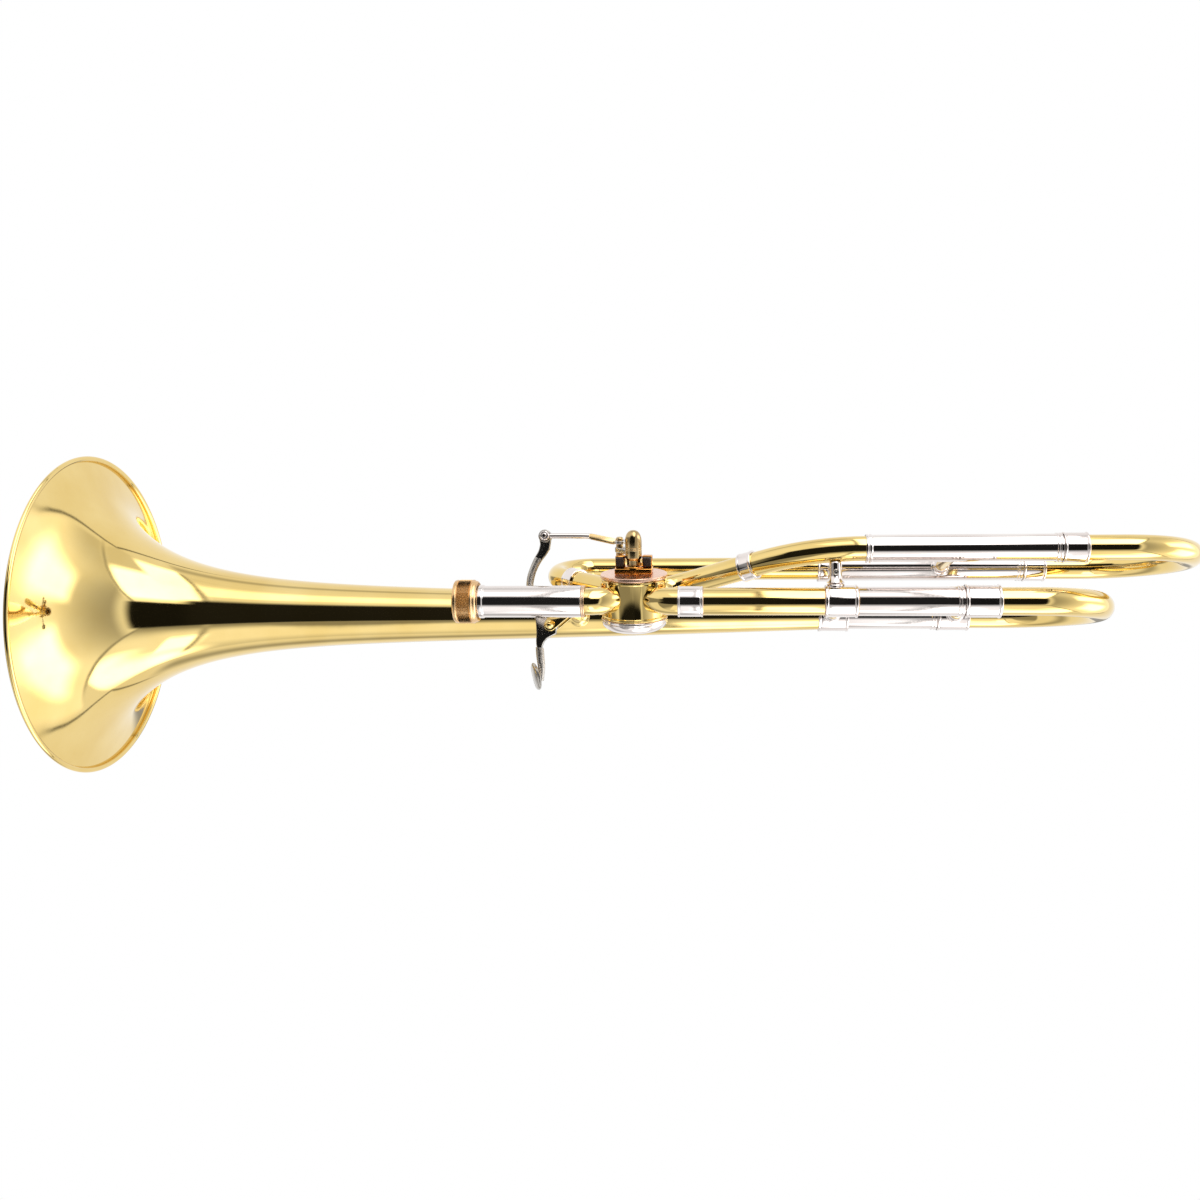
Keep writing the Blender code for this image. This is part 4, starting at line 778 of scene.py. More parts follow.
corner_reach = 18 / cos(LEAN)
for side, way, start_x in (("left", -1, 61.9), ("right", 1, 123)):
    corners = [
        (start_x, 0, 0), valve_point(corner_reach * way, -corner_reach, 0),
        diagonal_point(CASING_REACH, way, -1),
    ]
    brass_tube("near_knuckle_" + side, "knuckle_near_" + side, rounded_path(corners, [17.3]), 7.85)
feed = [diagonal_point(CASING_REACH + (56.2 - CASING_REACH) * i / 8, -1, 1) for i in range(9)]
brass_tube("far_knuckle_left", "knuckle_far_left", feed, 7.1)
crook_joint = diagonal_point(56.5, -1, 1)
feed_way = Vector(diagonal_point(1, -1, 1)) - VALVE
sleeve_profile = [(-4.5, 7.2), (-4.5, 8.2), (-4.2, 8.45), (-3.3, 8.45), (-2.9, 8.25),
                  (2.9, 8.25), (3.3, 8.45), (4.2, 8.45), (4.5, 8.2), (4.5, 7.2)]
piece(
    "crook_sleeve", "crook_ferrule", lathe(sleeve_profile, nickel_silver, crook_joint, feed_way),
)
far_v = (LEG_SPACING - 18) / cos(LEAN)
crook_path = rounded_path(
    [crook_joint, valve_point(-far_v, far_v, 0), (204, LEG_SPACING, LOOP_HEIGHT)], [21.7]
)
brass_tube("loop_crook_tube", "loop_crook", crook_path, 7.1)

# Loop lines
piece(
    "loop_far_sleeve", "loop_far_ferrule",
    ferrule(200, 208, 8.4, 7.2, LEG_SPACING, LOOP_HEIGHT, 0.3, 1.2),
)
piece(
    "loop_far_outer_slide", "loop_outer_far",
    outer_slide(204, 327.4, 7.8, LEG_SPACING, LOOP_HEIGHT),
)
piece(
    "loop_near_outer_slide", "loop_outer_near",
    outer_slide(220.6, 327.4, 7.8, 0, LOOP_HEIGHT, socket=3.4),
)
return_corner = Vector(diagonal_point(31, 1, 1))
diagonal_end = Vector((190, 0, LOOP_HEIGHT))
diagonal_way = (diagonal_end - return_corner).normalized()
diagonal_joint = diagonal_end - diagonal_way * (31.9 + 7.3)
diagonal_radius = 31.9 / tan(diagonal_way.angle(Vector(X_WAY)) / 2)
knuckle_path = rounded_path(
    [diagonal_point(CASING_REACH, 1, 1), return_corner, diagonal_joint], [18]
)
brass_tube("far_knuckle_right", "knuckle_far_right", knuckle_path, 7.1)
piece(
    "diagonal_sleeve", "diagonal_ferrule",
    lathe(sleeve_profile, nickel_silver, diagonal_joint, diagonal_way),
)
near_path = rounded_path([diagonal_joint, diagonal_end, (223, 0, LOOP_HEIGHT)], [diagonal_radius])
brass_tube("loop_near_bent_tube", "loop_near_tube", near_path, 7.1)
for side, y in (("near", 0), ("far", LEG_SPACING)):
    piece(
        "loop_inner_slide_" + side, "loop_leg_" + side,
        straight_tube(226, 333.7, 7, turned_nickel, y, LOOP_HEIGHT), "loop_slide",
    )
    piece(
        "loop_bow_sleeve_" + side, "loop_ferrule_" + side,
        [
            ferrule(327.7, 341.1, 8.3, 7, y, LOOP_HEIGHT, 0.35, 1.2),
            seam(341.3, 7.1, y, LOOP_HEIGHT),
        ],
        "loop_slide",
    )
brass_tube("loop_bow_tube", "loop_bow", bow_path(334, 410, LOOP_HEIGHT), 7.1, body="loop_slide")


# Braces
def foot(radius, flange, tube_radius, finish, spot, way):
    # A round saddle foot that follows the tube along X it is soldered to. It stands along way,
    # away from the tube's axis at spot.
    way, along = Vector(way), Vector(X_WAY)
    side = way.cross(along)
    rings = [
        (flange, 0.05), (flange, 0.8), (flange - 0.4, 1.15), (flange - 1.4, 1.3),
        (radius + 1.6, 1.9), (radius + 0.7, 2.8), (radius + 0.2, 4), (radius, 5.4),
    ]
    work = bmesh.new()
    rows = []
    for reach, rise in rings:
        row = []
        for a, s in arc((0, 0), reach, 0, 2 * pi, 64)[:-1]:
            saddle = sqrt(max(tube_radius**2 - s**2, 0))
            blend = max(0, 1 - rise / 5.4)
            height = saddle * blend + tube_radius * (1 - blend) + rise
            row.append(work.verts.new((Vector(spot) + along * a + side * s + way * height) * MM))
        rows.append(row)
    walls(work, rows)
    work.faces.new(rows[-1])
    work.faces.new(rows[0][::-1])
    return tidied(built(work, finish))


def cross_stay(name, node, x, z, near, far, radius, flange, foot_finish, body="section"):
    # A turned stay between the two lines, with saddle feet.
    middle, end = LEG_SPACING / 2, LEG_SPACING - far
    profile = [
        (near + 4, 0), (near + 4, radius + 0.35), (near + 5.4, radius + 0.35),
        (near + 5.9, radius), (middle - 3, radius * 0.93), (middle + 3, radius * 0.93),
        (end - 5.9, radius), (end - 5.4, radius + 0.35), (end - 4, radius + 0.35),
        (end - 4, 0),
    ]
    piece(
        name, node,
        [
            lathe(profile, yellow_brass, (x, 0, z), Y_WAY, 64, 0.2),
            foot(radius, flange, near, foot_finish, (x, 0, z), Y_WAY),
            foot(radius, flange, far, foot_finish, (x, LEG_SPACING, z), (0, -1, 0)),
        ],
        body=body,
    )


cross_stay("body_stay", "body_brace", 47.5, -2, 9.3, 14.7, 3.4, 7, yellow_brass)
cross_stay("tail_stay", "tail_brace", 208.4, 0, 9.05, 10.35, 3.4, 5.6, nickel_silver)
cross_stay(
    "slide_stay", "main_slide_brace", 284.4, 0, 9.15, 9.65, 3.4, 5.6, nickel_silver, "main_slide"
)
cross_stay("loop_stay", "loop_cross_brace", 276, LOOP_HEIGHT, 7.85, 7.85, 2.8, 5.6, nickel_silver)
post = [(8.8, 0), (8.8, 4), (9.6, 4.1), (10.2, 3.5), (21.6, 3.4), (22.4, 3.1), (22.4, 0)]
post_screw = [(-4.1, 0), (-4.1, 0.5), (-3.7, 0.5), (-3.7, 1.1), (-4, 1.5), (-3.2, 1.9), (-3.2, 0)]
piece(
    "loop_support_post", "loop_post",
    [
        lathe(post, nickel_silver, (204, 0, 0), Z_WAY, 48, 0.3),
        lathe(post_screw, plated_steel, (204, 0, 16.2), Y_WAY, 32, 0.1),
        foot(3.4, 4.9, 9.05, nickel_silver, (204, 0, 0), Z_WAY),
    ],
)

# Valve casing, bearings and cap
casing = [
    (-13, 16.9), (-13, 18.9), (-12.6, 19.1), (-11.6, 19.1), (-11.2, 18.45), (8.7, 18.85),
    (9.1, 19.1), (10.3, 19.1), (10.5, 18.9), (10.5, 16.9),
]
piece("valve_body", "valve_casing", valve_lathe(casing, yellow_brass))
top_plate = [(10.8, 3.9), (10.8, 19.3), (11.1, 19.6), (12.7, 19.6), (13, 19.3), (13, 3.9)]
piece(
    "valve_top_plate", "top_bearing", valve_lathe(top_plate, copper_plate, ease=0.25),
)
lower = [(-12.7, 3.9), (-12.7, 16.6), (-9.5, 16.6), (-9.5, 3.9)]
piece("valve_lower_plate", "lower_bearing", valve_lathe(lower, drawn_brass))
cap = [
    (-21, 0), (-19.9, 11), (-18.6, 15.2), (-16.9, 17.2), (-13.3, 18), (-13.3, 19.2),
    (-13.5, 19.4), (-14.6, 19.4), (-14.8, 19.2), (-15.1, 19.2), (-15.3, 19.4), (-16, 19.3),
    (-17.2, 18.8), (-18.4, 17.9), (-19.5, 16.4), (-20.4, 14.4), (-21.1, 12), (-21.7, 9),
    (-22.1, 6.2), (-22.3, 4.6), (-22.5, 4), (-22.9, 3.6), (-23.2, 2.8), (-23.2, 0),
]
cap_seam = [(-13.28, 18), (-13.28, 19.15), (-13.02, 19.15), (-13.02, 18)]
piece(
    "valve_bottom_cap", "valve_cap",
    [valve_lathe(cap, nickel_silver), valve_lathe(cap_seam, solder, ease=0.05)],
)
rotor_core = [
    (30, 0), (30, 2.2), (17.6, 2.2), (17.6, 3.6), (9.2, 3.6), (9.2, 16.6), (-9.2, 16.6),
    (-9.2, 3.6), (-12.7, 3.6), (-12.7, 0),
]
piece("valve_rotor_core", "rotor", valve_lathe(rotor_core, drawn_brass), body="valve_rotor")

# Lugs of the top plate, with a screw in each
for side, turn in (("left", radians(-137)), ("right", radians(-43))):
    out = Vector(valve_point(cos(turn), sin(turn), 0)) - VALVE
    middle = Vector(valve_point(20.6 * cos(turn), 20.6 * sin(turn), 7.3))
    face = aimed(middle, out) @ Matrix.Rotation(QUARTER, 4, "Y")
    outline = [(-3, -2.9), (3, -2.9), (3, 2.9), (-3, 2.9)]
    head = [(0, 0), (0, 1.75), (0.5, 1.75), (0.75, 1.4), (0.75, 0)]
    piece(
        "top_plate_lug_" + side, "",
        [
            slab(outline, 3.4, yellow_brass, face, 0.5),
            lathe(head, gold_brass, middle + out * 1.6, out, 32, 0.12),
        ],
    )

# Stops of the valve
stop_outline = [
    (-10.8, -6), (10.8, -6), (11.1, 4), (10.6, 7.8), (9.1, 9), (-9.1, 9),
    (-10.6, 7.8), (-11.1, 4),
]
stop_ring = [(13.2, 3.9), (13.2, 6.2), (17.2, 6.2), (17.5, 5.8), (17.5, 3.9)]
stop_parts = [
    slab(stop_outline, 3.2, gold_brass, on_valve(14.95), 0.45),
    valve_lathe(stop_ring, gold_brass),
]
for way in (-1, 1):
    tower = [(4.9 * way, 0.3), (10.7 * way, -0.6), (10.9 * way, 4.4), (5.4 * way, 5)]
    stop_parts.append(slab(tower, 7.4, gold_brass, on_valve(19.6), 0.5))
piece("stop_plate", "bumper_plate", stop_parts)
for side, way in (("left", -1), ("right", 1)):
    bumper = [
        (8 * way + 2.45 * a, -1.92 + 2.45 * b)
        for a, b in ((-0.9, -0.9), (0.9, -0.9), (0.98, 0.9), (-0.98, 0.9))
    ]
    piece(
        "stop_bumper_" + side, "bumper_" + side,
        slab(bumper, 5.2, neoprene, on_valve(20.15), 0.45),
    )
    head = [(17.8, 0), (17.8, 1.6), (18.4, 1.6), (18.8, 1.1), (18.8, 0)]
    piece(
        "stop_plate_screw_" + side, "plate_screw_" + side,
        lathe(head, plated_steel, valve_point(8 * way, 6.9, 0), H_WAY, 32),
    )


def bar_outline(direction, start, end, half_start, half_end):
    # A bar that runs from start to end in one direction and has a round end.
    way = Vector((cos(direction), sin(direction)))
    side = Vector((-way.y, way.x))
    tip = arc(way * end, half_end, direction - QUARTER, direction + QUARTER, 16)
    return [tuple(way * start - side * half_start), *tip, tuple(way * start + side * half_start)]


# Stop arm: a bullet shaped hub with fine turned lines, its crank and its stop lug
hub = [
    (38.5, 0), (38.45, 0.9), (38.2, 1.8), (37.6, 2.8), (36.7, 3.6), (35.4, 4.3), (33.8, 4.75),
    (32, 4.9), (28.4, 4.9), (28.25, 4.75), (28.05, 4.75), (27.9, 4.9), (27.3, 4.9),
    (27.15, 4.75), (26.95, 4.75), (26.8, 4.9), (22.4, 4.9), (21.8, 4.6), (21.2, 4.1), (20.4, 4),
    (17.9, 4), (17.9, 2.5), (30.3, 2.5), (30.3, 0),
]
ARM_LENGTH = 12.5
arm_angle = radians(135)
stud_u = ARM_LENGTH * cos(arm_angle)
stud_v = ARM_LENGTH * sin(arm_angle)
crank = bar_outline(arm_angle, 3.4, ARM_LENGTH, 3, 2.9)
stop_lug = bar_outline(radians(-45), 3.2, 6.6, 1.2, 1.2)
piece(
    "stop_arm_hub", "stop_arm",
    [
        valve_lathe(hub, champagne_nickel, 96, 0.12),
        slab(crank, 3.2, plated_steel, on_valve(25.6), 0.6),
        slab(stop_lug, 2, gold_brass, on_valve(19.2), 0.3),
    ],
    "valve_rotor",
)
stud = [
    (33.2, 0), (33.2, 1.2), (32.9, 1.8), (32.4, 2.1), (31.4, 2.1), (31.2, 1.3), (28.9, 1.3),
    (28.6, 2.1), (27.4, 2.2), (27.2, 1.3), (23.7, 1.3), (23.7, 2.3), (22.4, 2.3), (22.4, 0),
]
piece(
    "arm_stud_screw", "arm_stud",
    lathe(stud, champagne_nickel, valve_point(stud_u, stud_v, 0), H_WAY, 48),
    "valve_rotor",
)

# Link rod: an eye on the lever, a round bar, a flat strip and a slotted eye over the arm stud
eye_spot = Vector(valve_point(stud_u, (stud_v + ARM_LENGTH) / 2, 30))
rod_y = eye_spot.y
JOINT = Vector((34.6, rod_y, 41))
PIVOT = Vector((38.5, 0, -12.3))
ring = [(-1.15, 2), (-1.15, 3.5), (-0.8, 3.8), (0.8, 3.8), (1.15, 3.5), (1.15, 2)]
bend = Vector((61, rod_y, 40.8))
STRIP_TWIST = radians(13)


def slot_outline(half_width, half_length):
    straight = half_length - half_width
    top = arc((0, straight), half_width, 0, pi, 12)
    return top + arc((0, -straight), half_width, pi, 2 * pi, 12)


strip_way = eye_spot - Vector((2.75, 0, 0)) - bend
strip_frame = placed(
    *(bend + strip_way / 2), (-atan2(strip_way.z, strip_way.x), "Y"),
    (QUARTER - STRIP_TWIST, "X"),
)
half_run = strip_way.length / 2
strip = [
    (-half_run - 2.6, -0.9), (-half_run + 2, -1.7), (half_run - 2, -1.8), (half_run, -1.6),
    (half_run, 1.6), (half_run - 2, 1.8), (-half_run + 2, 1.7), (-half_run - 2.6, 0.9),
]
rod_path = [
    (JOINT.x + 3, rod_y, 41), (JOINT.x + 6, rod_y, 41), (48, rod_y, 40.95),
    (bend.x - 3, rod_y, 40.85), (bend.x + 0.5, rod_y, 40.7),
]
eye_frame = placed(*eye_spot, (LEAN, "X"))
piece(
    "link_rod_bar", "link_rod",
    [
        lathe(ring, plated_steel, JOINT, Y_WAY, 64, 0.3),
        rod(rod_path, 1.55, nickel_silver),
        slab(strip, 1.8, champagne_nickel, strip_frame, 0.35),
        slab(slot_outline(3.75, 5.2), 1.6, plated_steel, eye_frame, 0.3,
             hole=slot_outline(2.05, 3.5)),
    ],
    "link",
)

# Thumb lever
RING_HALF, LEVER_GAP, LEVER_THICK = 1.15, 0.3, 3
lever_front = rod_y + RING_HALF + LEVER_GAP
lever_y = lever_front + LEVER_THICK / 2
lever_back = lever_front + LEVER_THICK


def flowing(points, steps=5):
    # A smooth line through points that are given from the pivot.
    points = [Vector((PIVOT.x + along, PIVOT.z + across)) for along, across in points]
    made = []
    for i in range(len(points) - 1):
        a, b, c = points[max(0, i - 1)], points[i], points[i + 1]
        d = points[min(len(points) - 1, i + 2)]
        for k in range(steps):
            t = k / steps
            made.append(
                0.5 * (2 * b + (c - a) * t + (2 * a - 5 * b + 4 * c - d) * t**2
                       + (3 * b - a - 3 * c + d) * t**3)
            )
    return [tuple(p) for p in [*made, points[-1]]]


front_edge = [
    (-7, 48.8), (-8.1, 44.5), (-10.7, 39.8), (-13.2, 33.8), (-14.6, 28.8), (-15, 23),
    (-14.2, 16.3), (-11.8, 9.3), (-9.4, 3.6), (-8.6, -4), (-8.6, -11), (-7.2, -17),
    (-6.2, -25.6),
]
web_edge = [(-4.7, -25.6), (-5, -17), (-4.6, -11.6), (-2.1, -8), (3.4, -5)]
inner_edge = [
    (-5.8, 8.4), (-9.4, 15.8), (-11, 23.4), (-10.4, 28.6), (-9, 33.2), (-6.4, 38.2),
    (-3.4, 42.2), (-1.2, 45.8),
]
lever_outline = (
    arc((JOINT.x, JOINT.z), 3.9, radians(-30), radians(190), 27)
    + flowing(front_edge)
    + flowing(web_edge)
    + arc((PIVOT.x, PIVOT.z), 4.1, radians(-30), radians(120), 17)
    + flowing(inner_edge)
)
lever_frame = placed(0, lever_y, 0, (QUARTER, "X"))


def crowned_bar(left_edge, right_edge, rise, finish, sides=24):
    # A bar between two edges that run side by side, its faces swelling towards the middle.
    left, right = flowing(left_edge, 6), flowing(right_edge, 6)
    work = bmesh.new()
    rows = []
    for i, edge_point in enumerate(left):
        here = Vector(edge_point)
        there = Vector(right[round(i * (len(right) - 1) / (len(left) - 1))])
        middle, half = (here + there) / 2, (there - here) / 2
        row = []
        for across, swell in arc((0, 0), 1, 0, 2 * pi, sides)[:-1]:
            spot = middle + half * across
            y = lever_y + (1.2 + rise) * swell
            row.append(work.verts.new((spot.x * MM, y * MM, spot.y * MM)))
        rows.append(row)
    walls(work, rows)
    work.faces.new(rows[0])
    work.faces.new(rows[-1][::-1])
    return tidied(built(work, finish), sharp=60)


upper_bar = crowned_bar(
    [(-10.2, 41), *front_edge[3:8]],
    [(-5.6, 39.6), *inner_edge[4:0:-1], (-6.4, 8.6)],
    1.1, satin_steel,
)
lower_bar = crowned_bar(
    [(-9, -13), (-8.5, -19), (-7.4, -25.4), (-6.2, -33)],
    [(-4.2, -13.4), (-3.6, -19), (-3.2, -25.4), (-3.9, -33)],
    0.9, satin_steel,
)
lever_plate = slab(lever_outline, LEVER_THICK, plated_steel, lever_frame, 0.85, 4)
piece("thumb_lever", "lever_arm", [lever_plate, upper_bar, lower_bar], "lever")
screw_front = rod_y - RING_HALF - LEVER_GAP
joint_screw = [(lever_back + 1, 0), (lever_back + 1, 1.6)] + [
    (screw_front - out, girth)
    for out, girth in (
        (0, 1.6), (0, 3), (0.5, 3), (1.2, 2.7), (1.5, 2.3), (1.2, 2), (1.25, 1.5),
        (1.9, 1.2), (2, 0.6), (2, 0),
    )
]
piece(
    "lever_joint_cap", "lever_joint_screw",
    lathe(joint_screw, nickel_silver, (JOINT.x, 0, JOINT.z), Y_WAY, 64), "lever",
)


def thumb_leaf():
    # The thumb paddle: a thin leaf, hollowed towards the thumb and drawn in at its neck.
    rows, columns = 40, 32
    half_width, half_height, hollow, fullness = 9, 8.3, 1.4, 2.3
    place = placed(
        PIVOT.x - 7.8, lever_y, PIVOT.z - 30.2, (radians(18), "Z"),
        (radians(-14.4), "Y"),
    )
    work = bmesh.new()
    for swell in (1, -0.85):
        grid = []
        for i in range(rows + 1):
            v = -1 + 2 * i / rows
            row = []
            for j in range(columns + 1):
                w = -1 + 2 * j / columns
                round_off = max(0, 1 - abs(v) ** fullness)
                y = w * half_width * sqrt(round_off) * (1 - 0.1 * max(v, 0))
                thick = 1.35 * min(1, round_off * (1 - w * w) * 3) ** 0.5
                bow = hollow * (1 - (y / half_width) ** 2) * (1 - 0.5 * v * v)
                row.append(work.verts.new(Vector((thick * swell - bow, y, v * half_height)) * MM))
            grid.append(row)
        for i in range(rows):
            for j in range(columns):
                work.faces.new((grid[i][j], grid[i + 1][j], grid[i + 1][j + 1], grid[i][j + 1]))
    bmesh.ops.remove_doubles(work, verts=work.verts, dist=0.00002)
    return tidied(built(work, plated_steel), place)


piece("thumb_leaf", "thumb_paddle", thumb_leaf(), "lever")

# Bracket, hinge pin and spring
CHEEK = 2.2
front_cheek = lever_front - 0.5 - CHEEK
back_cheek = lever_back + 5.9


def hull_outline(first, first_radius, second, second_radius):
    # A band drawn tight round two circles.
    first, second = Vector(first), Vector(second)
    way = second - first
    heading = atan2(way.y, way.x)
    lean = acos((first_radius - second_radius) / way.length)
    outline = arc(first, first_radius, heading + lean, heading - lean + 2 * pi, 24)
    return outline + arc(second, second_radius, heading - lean, heading + lean, 24)


cheek = hull_outline((47.5, -2), 5.6, (PIVOT.x, PIVOT.z), 3.6)
for side, cheek_y in (("front", front_cheek), ("back", back_cheek)):
    cheek_frame = placed(0, cheek_y + CHEEK / 2, 0, (QUARTER, "X"))
    piece(
        "lever_bracket_" + side, "bracket_cheek_" + side,
        slab(cheek, CHEEK, yellow_brass, cheek_frame, 0.45),
    )
BALL, BALL_TURN = 2.7, radians(143)
front_ball = (front_cheek - 0.5 - 2.17, 0)
back_ball = (back_cheek + 2.7 + 2.17, 0)
pin = arc(front_ball, BALL, pi, pi - BALL_TURN, 12)
pin += arc(back_ball, BALL, BALL_TURN, 0, 12)
piece("lever_hinge_pin", "lever_pin", lathe(pin, yellow_brass, (PIVOT.x, 0, PIVOT.z), Y_WAY, 48, 0))
COIL_RADIUS, COIL_HEIGHT, COIL_WIRE = 3.1, 4.375, 0.4
coil = grown(
    line_mesh([(0, 0), (1, 0)]), WOUND_SPRING, Turns=3.5, Radius=COIL_RADIUS * MM,
    Height=COIL_HEIGHT * MM, Wire=COIL_WIRE * MM, Finish=plated_steel,
)
coil_start = lever_back + 0.95
spring_parts = [tidied(coil, placed(PIVOT.x, coil_start, PIVOT.z, (-QUARTER, "X")))]
for side, y in ((1, coil_start), (-1, coil_start + COIL_HEIGHT)):
    leg = [(PIVOT.x + side * COIL_RADIUS, y, PIVOT.z + rise) for rise in (0, 3.5, 7)]
    spring_parts.append(rod(leg, COIL_WIRE, plated_steel, 12))
piece("lever_return_spring", "lever_spring", spring_parts)


# Floor, light and camera
def white_floor():
    # Matt white paper: it shows as white and takes a soft shadow.
    made, tree, shader = new_material("matt_white_paper")
    shader.inputs["Base Color"].default_value = linear("#F4F4F4")
    shader.inputs["Roughness"].default_value = 0.9
    path = add(tree, "ShaderNodeLightPath").outputs
    glow = add(tree, "ShaderNodeEmission", {"Color": (1, 1, 1, 1), "Strength": 1})
    open_way = add(tree, "ShaderNodeBsdfTransparent")
    seen = add(tree, "ShaderNodeMixShader", {0: path["Is Camera Ray"], 1: shader, 2: glow})
    mixed = add(tree, "ShaderNodeMixShader", {0: path["Is Glossy Ray"], 1: seen, 2: open_way})
    tree.links.new(mixed.outputs[0], tree.nodes["Material Output"].inputs[0])
    return made


FLOOR_Z, FLOOR_HALF = -0.9, 6
floor = bpy.data.meshes.new("floor")
floor.from_pydata(
    [(x * FLOOR_HALF, y * FLOOR_HALF, FLOOR_Z) for x, y in ((-1, -1), (1, -1), (1, 1), (-1, 1))],
    [], [(0, 1, 2, 3)],
)
floor.materials.append(white_floor())
shown("floor", floor)


def studio_world():
    # A white tent shaped like a box. Its walls are the panels below, each bounded by straight
    # edges, with the dark opening in the front wall through which the camera looks.
    world = bpy.data.worlds.new("studio")
    bpy.context.scene.world = world
    world.use_nodes = True
    tree = world.node_tree
    shader = tree.nodes["Background"]
    way = add(tree, "ShaderNodeTexCoord").outputs["Generated"]

    def reach(facing):
        # How far a direction lies on the side that facing points to.
        return add(
            tree, "ShaderNodeVectorMath",
            {0: way, 1: Vector(facing).normalized()}, operation="DOT_PRODUCT",
        ).outputs["Value"]

    def blend(value, low, high, first=0, last=1):
        return add(
            tree, "ShaderNodeMapRange",
            {"Value": value, "From Min": low, "From Max": high, "To Min": first, "To Max": last},
            interpolation_type="SMOOTHSTEP",
        )

    def together(masks):
        # 1 where all the masks are 1.
        share = masks[0]
        for mask in masks[1:]:
            share = add(tree, "ShaderNodeMath", {0: share, 1: mask}, operation="MULTIPLY")
        return share

    def inside(*edges):
        # 1 inside all the edges. An edge is the way it faces, x, y and z, and its softness.
        return together([blend(reach(facing), -soft, soft) for *facing, soft in edges])

    def strip(facing, width):
        # 1 along an edge.
        off = add(tree, "ShaderNodeMath", {0: reach(facing)}, operation="ABSOLUTE")
        return blend(off, 0, width, 1, 0)

    def lay(under, level, *masks):
        # Lays a level of light over what is there, where all the masks are 1.
        return add(
            tree, "ShaderNodeMix", {0: together(masks), 2: under, 3: level}, data_type="FLOAT"
        )

    # Edges between the walls: each is the way its plane faces.
    side_top, side_foot, side_front = (1, 0.343, -0.582), (1, 0.01, 0.845), (1.376, 1, 0)
    back_top, back_foot = (0.74, -1, -0.126), (0.77, -1, -0.23)
    ceiling_back, floor_back = (-0.44, -1, 0.325), (-0.83, -1, -0.86)
    up_half, low_half = (0, 0, 1, 0.05), (0, 0, -1, 0.05)

    # Panels over the wall behind: a level of light and the edges that bound it
    light = 1.03
    for level, *edges in (
        # ceiling, left half of the ceiling and its glow
        (0.9, (*ceiling_back, 0.03), (*back_top, 0.03), (-1, -0.343, 0.582, 0.04)),
        (1.15, (0, 0.62, 1, 0.08), (0, -4, -1, 0.2), (-1, 0, 0, 0.03)),
        (2.1, (0, 0.84, 1, 0.06), (0, -2, -1, 0.12), (1, 0, 0.33, 0.05), (-1, 0, 0, 0.04)),
        # front of the ceiling and its glow
        (1.5, (0, 0.33, 1, 0.03), (0, -2.3, -1, 0.08), (1, 0, 0, 0.02),
         (-1, -0.343, 0.582, 0.05)),
        (3.7, (0, 0.45, 1, 0.06), (0, -2.75, -1, 0.09), (1, 0.02, 0, 0.06),
         (-1, -0.343, 0.54, 0.06)),
        # bright strip high at the right
        (3.4, (0, 1.4, 1, 0.12), (0, -1, 0, 0.08), (1, 0, 0, 0.03), (-1, 0, 0.27, 0.03)),
    ):
        light = lay(light, level, inside(*edges))
    dim_strip = inside((-1, 0, 0, 0.03), (1, 0, 0.6, 0.1), up_half)
    light = lay(light, 0.6, strip((0, -1, 0.14), 0.17), dim_strip)

    # Ground: it brightens towards its far edge
    ground = inside((-1, 0, -0.845, 0.03), (*floor_back, 0.03), (*back_foot, 0.03), low_half)
    depth = reach((0.33, 0, -0.94))
    light = lay(light, blend(depth, 0.52, 0.8, 0.33, 0.85), ground)
    right_ground = inside((1, 0.5, 0, 0.12))
    light = lay(light, blend(depth, 0.5, 0.86, 0.3, 1.2), ground, right_ground)
    light = lay(light, 3.6, ground, blend(depth, 0.89, 0.97))
    for level, *edges in (
        # front of the ground and its glow
        (1.22, (0, 0.84, -1, 0.17), (0, -8, 1, 0.2), (1, 0, -0.28, 0.03), (-1, 0, -0.5, 0.2)),
        (3.3, (0, 1.35, -1, 0.1), (0, -6, 1, 0.12), (1, -0.02, 0, 0.04), (-1, 0, -0.21, 0.02)),
    ):
        light = lay(light, level, inside(*edges))
    under_band = inside((-1, 0, 0, 0.06), low_half)
    light = lay(light, 0.48, strip((0, 1, 0.53), 0.32), under_band)

    # Side wall at the right, with a glow high and low
    side = inside(
        (*side_top, 0.05), (*side_foot, 0.03), (*side_front, 0.07), (*back_top, 0.05),
        (*back_foot, 0.05),
    )
    side_light = blend(reach((0, -1, 0)), -0.05, 0.9, 1.38, 0.42)
    light = lay(light, side_light, side)
    light = lay(light, 0.8, side, blend(reach((0, 0, 1)), 0.5, 0.82))
    high_glow = inside(
        (-0.14, 0, 1, 0.07), (0.55, 0, -1, 0.13), (0.384, 1, 0, 0.1), (0.364, -1, 0, 0.12)
    )
    low_glow = inside(
        (-0.12, 0, -1, 0.08), (0.75, 0, 1, 0.13), (0.14, 1, 0, 0.13), (0.466, -1, 0, 0.09)
    )
    light = lay(light, 3.5, high_glow)
    light = lay(light, 3.6, low_glow)

    # Thin dark seams where the sheets of the tent meet: edge, width, level and its limits
    for facing, width, level, *limits in (
        (back_top, 0.028, 0.25, (-0.55, 0, 1, 0.06), (1, 0, -0.38, 0.02)),
        (ceiling_back, 0.028, 0.2, up_half, (-1, 0, 0.38, 0.02), (1, 0, 0.2, 0.1)),
        (back_foot, 0.028, 0.25, (-0.5, 0, -1, 0.06), (1, 0, 0.39, 0.02)),
        (floor_back, 0.028, 0.3, low_half, (-1, 0, -0.39, 0.02), (1, 0, 0, 0.1)),
        (side_foot, 0.035, 0.4, low_half, (0.4, -1, 0, 0.3)),
        (side_top, 0.03, 0.55, up_half, (0.2, -1, 0, 0.2)),
        ((1, 0, 0), 0.03, 0.5, (0, -1, 0, 0.1)),
    ):
        light = lay(light, level, strip(facing, width), inside(*limits))

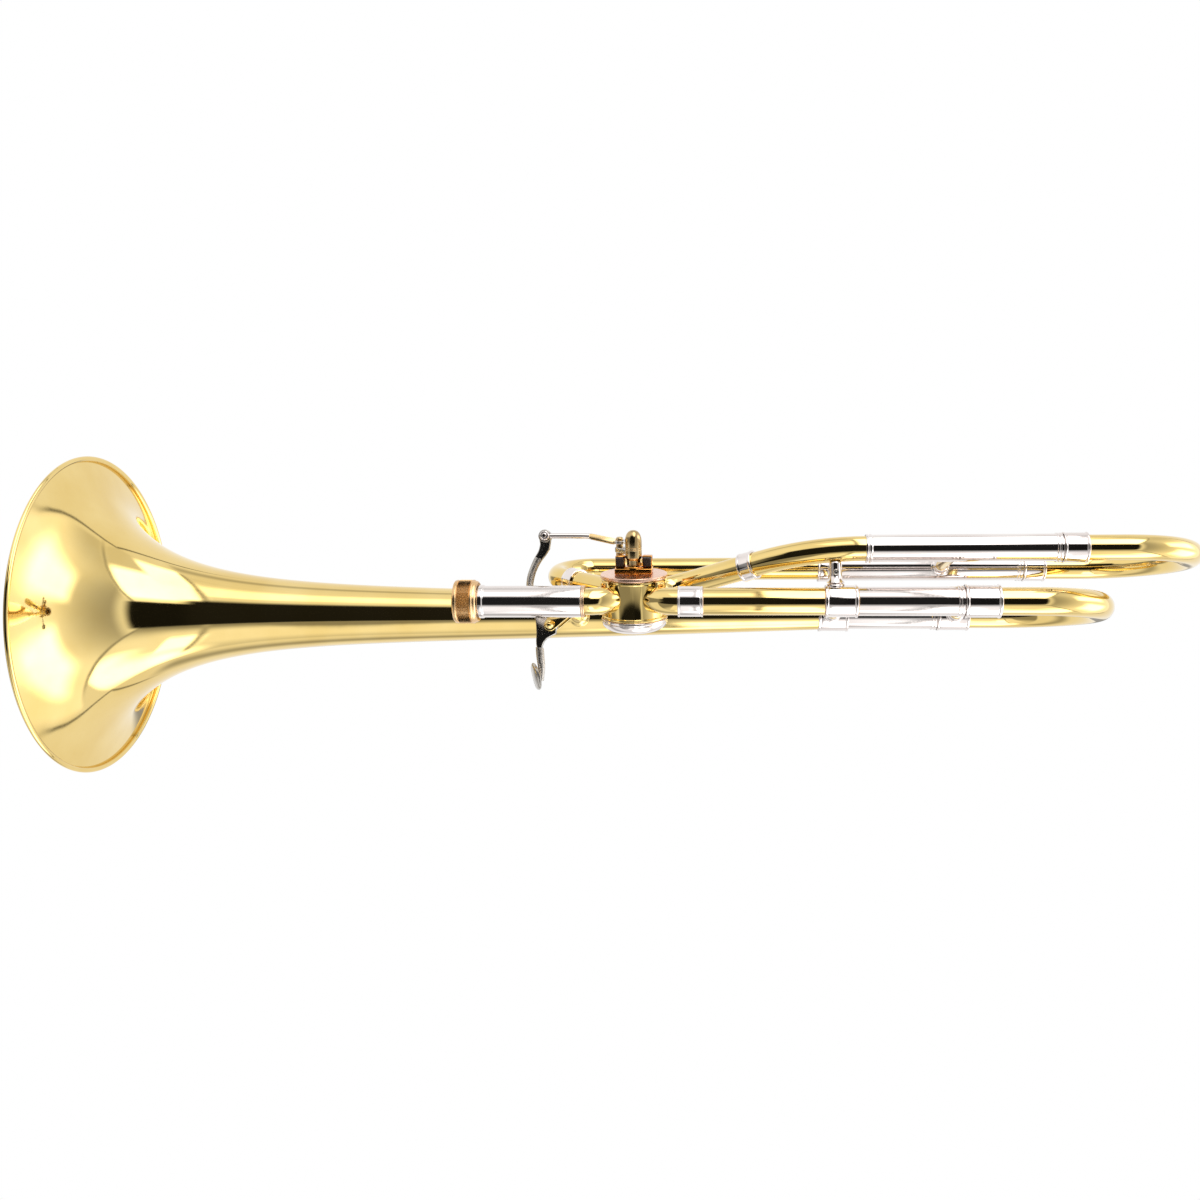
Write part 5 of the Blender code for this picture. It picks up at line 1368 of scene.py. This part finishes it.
    # Openings in the front wall: the window before the bell, the one before the tubes, a dim
    # one far behind and a dim band at the left
    for level, *edges in (
        (0.01, (0, -0.32, -1, 0.025), (0, -0.56, 1, 0.04), (-1, -0.6, 0, 0.05),
         (1, -1.3, 0, 0.15)),
        (0.015, (-0.12, -0.53, -1, 0.08), (0, -0.55, 1, 0.035), (-1, -0.11, 0, 0.06),
         (1, -0.8, 0, 0.05)),
        (0.35, (0, 0.15, -1, 0.03), (0, 0.15, 1, 0.03), (1, 0.36, 0, 0.05),
         (-1, 0.36, 0, 0.05)),
        (0.3, (-0.28, 0, 1, 0.06), (-0.28, 0, -1, 0.06), (-1, -1, 0, 0.2), (-1, 1, 0, 0.2)),
    ):
        light = lay(light, level, inside(*edges))
    path = add(tree, "ShaderNodeLightPath").outputs
    mirrored = add(
        tree, "ShaderNodeMath", {0: path["Is Glossy Ray"], 1: path["Is Transmission Ray"]},
        operation="MAXIMUM",
    )
    lit = add(tree, "ShaderNodeMix", {0: mirrored, 2: 0.55, 3: light}, data_type="FLOAT")
    seen = add(tree, "ShaderNodeMix", {0: path["Is Camera Ray"], 2: lit, 3: 1}, data_type="FLOAT")
    shader.inputs["Color"].default_value = (1, 1, 1, 1)
    tree.links.new(seen.outputs[0], shader.inputs["Strength"])


studio_world()

for name, spot, size, power in (
    ("soft_lamp_above", (0.2, -1.2, 1.3), (1.6, 0.8), 9),
    ("soft_lamp_behind", (-0.5, 1.5, 1), (1.4, 0.8), 5),
):
    lamp = bpy.data.lights.new(name, "AREA")
    lamp.shape = "RECTANGLE"
    lamp.size, lamp.size_y = size
    lamp.energy = power
    item = shown(name, lamp)
    item.location = spot
    item.rotation_euler = (-Vector(spot)).to_track_quat("-Z", "Y").to_euler()
    item.visible_glossy = False

# The camera's place and turn, as worked out from the photograph
EYE = (0.1487, -0.7026, -0.0616)
YAW, PITCH, ROLL = radians(6.37), radians(5.05), radians(0.53)
FOCAL_PIXELS, PHOTO_PIXELS = 1233, 1200
forward = Vector((-sin(YAW) * cos(PITCH), cos(YAW) * cos(PITCH), sin(PITCH)))
right = forward.cross(Vector(Z_WAY)).normalized()
up = right.cross(forward)
tilted_right = right * cos(ROLL) + up * sin(ROLL)
tilted_up = up * cos(ROLL) - right * sin(ROLL)
lens = bpy.data.cameras.new("camera")
lens.sensor_width = 36
lens.lens = lens.sensor_width * FOCAL_PIXELS / PHOTO_PIXELS
lens.clip_start = 0.01
lens.clip_end = 50
camera = shown("camera", lens)
turn = Matrix((tilted_right, tilted_up, -forward)).transposed().to_4x4()
camera.matrix_world = Matrix.Translation(EYE) @ turn
bpy.context.scene.camera = camera
bpy.context.scene.view_settings.view_transform = "Standard"
